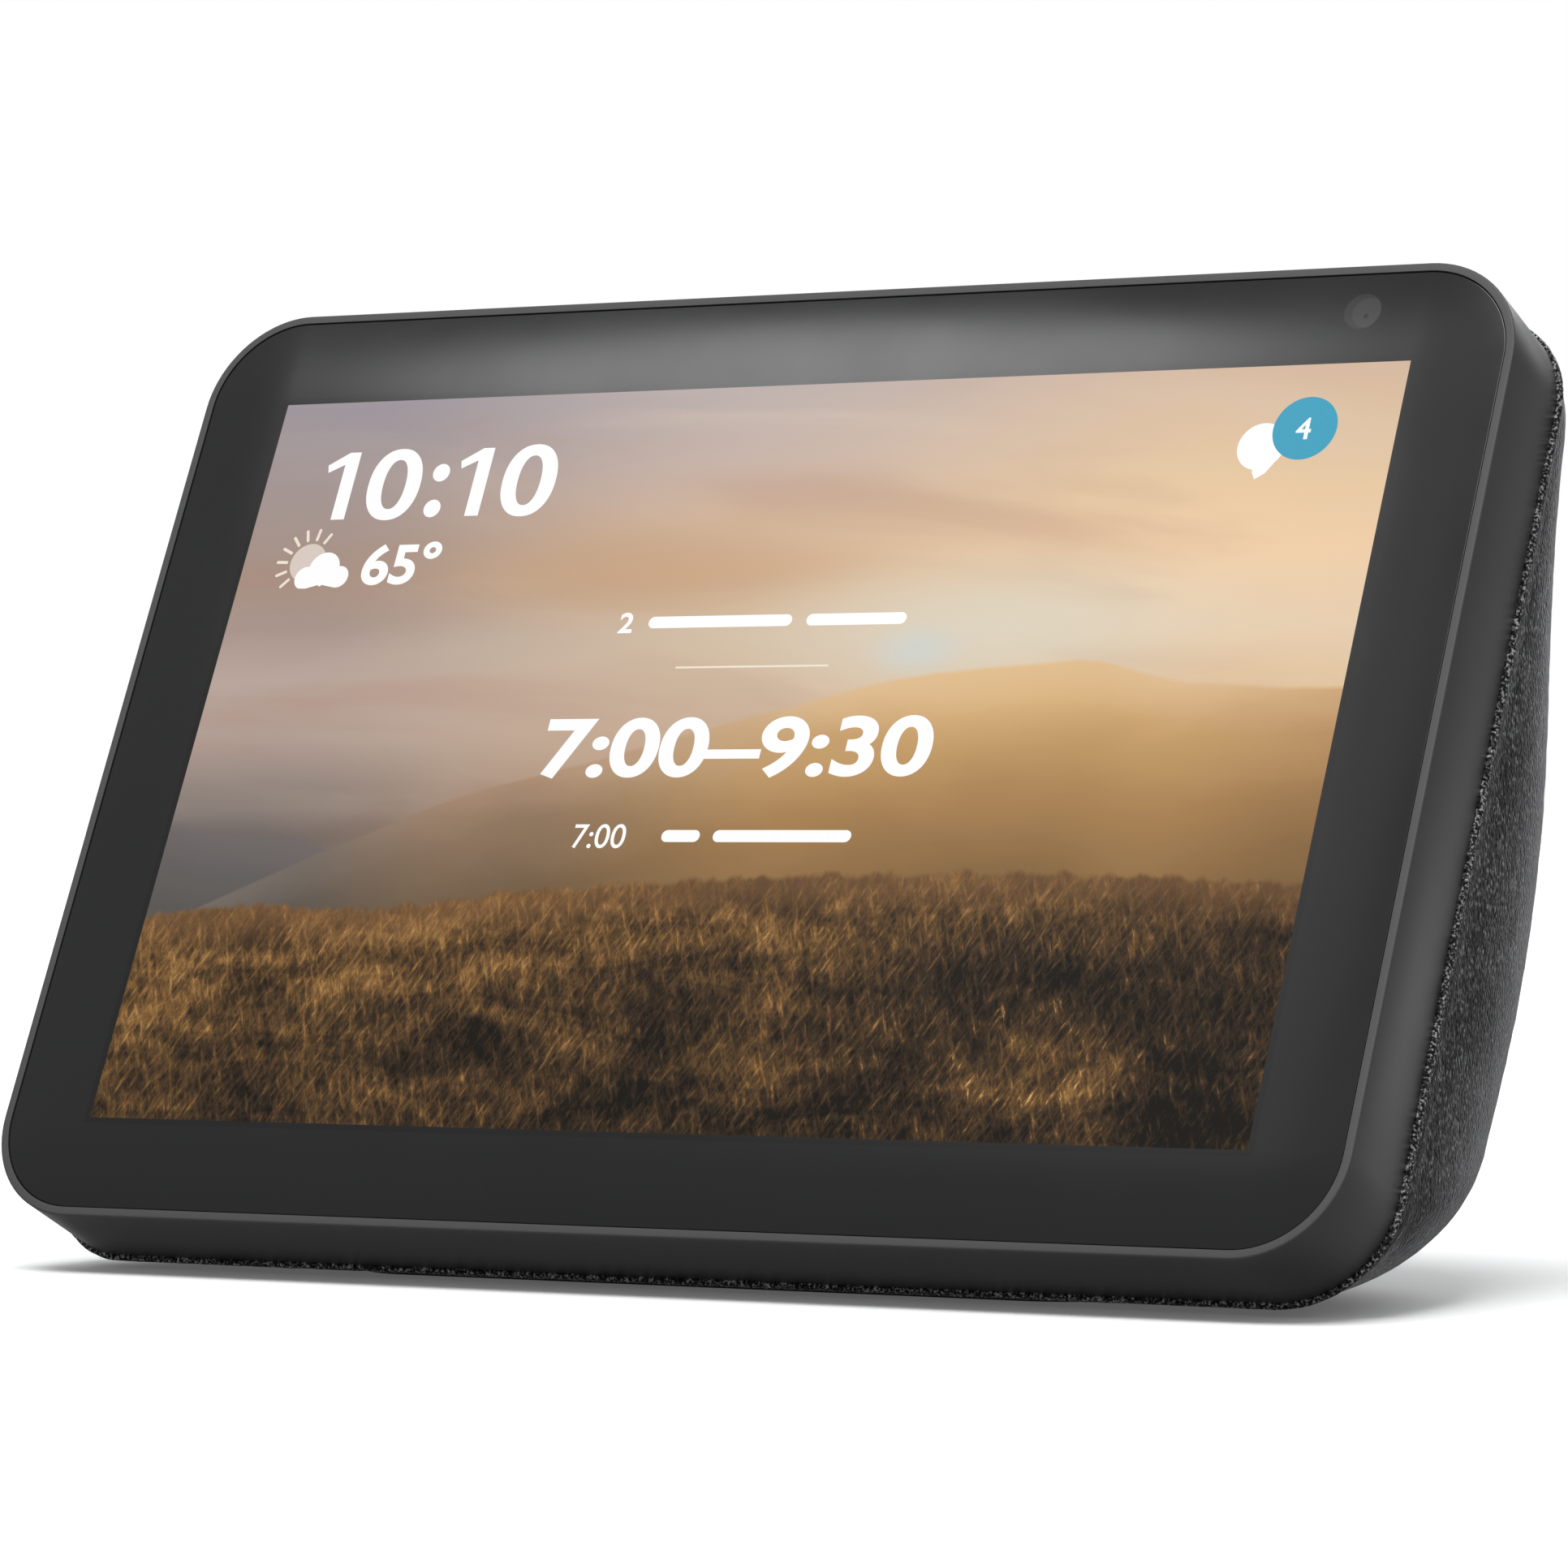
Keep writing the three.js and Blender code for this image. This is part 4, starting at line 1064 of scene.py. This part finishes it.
def base_and_foot():
    """The moulded tub under the housing, with its screw holes, and the rubber foot."""
    low, high = cad_box("base_plate")
    plate = base_slab("base_tub", 2.6, low.z, high.z, edge=0.6)
    floor_top = 4.3
    shank_hole, head_hole, head_depth = 1.9, 3.4, 3
    tools = [base_slab("tool", 0.1, floor_top, high.z + 1)]
    for x in (-SCREW_X, SCREW_X):
        for y in (-SCREW_Y, SCREW_Y):
            tools.append(round_bar("tool", shank_hole, (x, y, 0), (x, y, 9), 32))
            tools.append(round_bar("tool", head_hole, (x, y, 0), (x, y, head_depth), 32))
    carve(plate, tools)
    finish_piece(plate, "housing", "inner_plastic", ["base_plate"])
    foot = base_slab("foot_pad", 0.0, 0.0, 1.5, edge=0.35, arc=20)
    finish_piece(foot, "housing", "rubber", ["rubber_foot"])


# -- sockets at the back
def socket_plate():
    """The moulded niche: its mouth follows the back's curve, and its floor carries the sockets."""
    low, high = cad_box("port_plate")
    plate = block("socket_niche", low, (high.x, 60, high.z))
    carve(plate, [form_solid("tool", 0.25)], "INTERSECT")
    wall, gap = 1.5, 0.4
    niche_floor = 33.5
    middle = (low.z + high.z) / 2
    niche = rounded(high.x - wall, (high.z - low.z) / 2 - wall, 1.6, arc=8)
    x, z = niche[:, 0], niche[:, 1] + middle
    hollow = solid("tool", [np.column_stack([x, np.full(len(niche), y), z]) for y in (niche_floor, 70)])
    jack_low, jack_high = cad_box("dc_jack")
    jack = (jack_low + jack_high) / 2
    jack_radius = 4.1
    jack_hole = round_bar("tool", jack_radius, (jack.x, 20, jack.z), (jack.x, 40, jack.z), 48)
    usb_low, usb_high = cad_box("usb_port")
    usb_hole = block("tool", (usb_low.x - gap, 20, usb_low.z - gap), (usb_high.x + gap, 40, usb_high.z + gap))
    carve(plate, [hollow, jack_hole, usb_hole])
    finish_piece(plate, "housing", "port_plastic", ["port_plate"])


# -- camera, light and floor
def place_camera():
    """A long lens at the front right, almost level with the table."""
    data = bpy.data.cameras.new("camera")
    data.sensor_width = 36
    data.lens = LENS
    camera = add_object("camera", data)
    camera.rotation_euler = (math.pi / 2 + CAMERA_PITCH, 0, CAMERA_YAW)
    camera.location = (Vector((0, HEAD_Y, HEAD_Z)) + Vector(CAMERA_FROM_HEAD)) * MM
    bpy.context.scene.camera = camera


def add_light(data, direction):
    """Puts a light in the scene, turned so that it shines from a direction."""
    light = add_object(data.name, data)
    light.rotation_euler = Vector(direction).to_track_quat("Z", "Y").to_euler()
    return light


def far_light(name, direction, strength, width):
    """A soft distant light that shines from a direction; width is its angle in degrees."""
    data = bpy.data.lights.new(name, "SUN")
    data.energy = strength
    data.angle = math.radians(width)
    add_light(data, direction)


def glancing_light(name, point, normal, distance, size, power):
    """A round softbox that shows in a face with this normal, at a point of the body in millimetres."""
    spot = Vector(point) * MM
    normal = normal.normalized()
    seen = (bpy.context.scene.camera.location - spot).normalized()
    glance = 2 * normal.dot(seen) * normal - seen
    data = bpy.data.lights.new(name, "AREA")
    data.shape = "DISK"
    data.size = size
    data.energy = power
    add_light(data, glance).location = spot + distance * glance


def light_scene():
    """Soft light from above, and softboxes that show in the glass and in the foot of the side band."""
    far_light("overhead", (0.05, -0.38, 0.92), strength=2.5, width=36)
    far_light("rear_fill", (-0.1, 0.8, 0.59), strength=0.9, width=40)
    far_light("corner_streak", (0.06, 0.93, 0.36), strength=0.1, width=26)
    glass = HEAD.col[2].to_3d()
    glancing_light("glass_softbox", (-5, 13, 141), glass, distance=1.5, size=0.31, power=1.15)
    glancing_light("glass_glow", (90, 2, 85), glass, distance=1.5, size=0.5, power=0.25)
    glancing_light("band_card", (100, 10, 12), Vector((1, 0, 0)), distance=0.4, size=0.1, power=0.03)
    studio_world()
    bpy.context.scene.view_settings.view_transform = "Standard"


def studio_world():
    """A white room: plain white to the camera, and brighter overhead than at the sides for the light."""
    world = bpy.data.worlds.new("studio")
    bpy.context.scene.world = world
    world.use_nodes = True
    nodes, link = world.node_tree.nodes, world.node_tree.links.new
    nodes.clear()
    seen = nodes.new("ShaderNodeBackground")
    seen.inputs["Color"].default_value = (1, 1, 1, 1)
    seen.inputs["Strength"].default_value = 1.0
    lit = nodes.new("ShaderNodeBackground")
    lit.inputs["Color"].default_value = (0.97, 0.98, 1, 1)
    split = nodes.new("ShaderNodeSeparateXYZ")
    link(nodes.new("ShaderNodeTexCoord").outputs["Generated"], split.inputs[0])
    height = nodes.new("ShaderNodeMapRange")
    link(split.outputs[2], height.inputs["Value"])
    for name, number in (("From Min", 0.0), ("From Max", 0.6), ("To Min", 0.25), ("To Max", 0.5)):
        height.inputs[name].default_value = number
    link(height.outputs[0], lit.inputs["Strength"])
    blend = nodes.new("ShaderNodeMixShader")
    link(nodes.new("ShaderNodeLightPath").outputs["Is Camera Ray"], blend.inputs[0])
    link(lit.outputs[0], blend.inputs[1])
    link(seen.outputs[0], blend.inputs[2])
    link(blend.outputs[0], nodes.new("ShaderNodeOutputWorld").inputs["Surface"])


def floor():
    """A wide pale floor."""
    corners = [(x * FLOOR_HALF, y * FLOOR_HALF, 0) for x, y in ((-1, -1), (1, -1), (1, 1), (-1, 1))]
    piece = make_object("floor", corners, [(0, 1, 2, 3)])
    g = Graph("pale_floor")
    seen = [FLOOR_SEEN] * 3 + [1.0]
    lit = [FLOOR_LIT] * 3 + [1.0]
    g.set(Base_Color=g.mix(g.node("LightPath").outputs["Is Camera Ray"], lit, seen))
    g.set(Emission_Color=(1.0, 1.0, 1.0, 1.0), Emission_Strength=0.09)
    g.set(Roughness=0.9, Specular_IOR_Level=0.1)
    piece.data.materials.append(g.material)


place_camera()
light_scene()
floor()
dress_cad_nodes()
front_frame()
cover_glass()
screen_graphics()
top_buttons()
camera_shutter()
fabric_cover()
base_and_foot()
socket_plate()
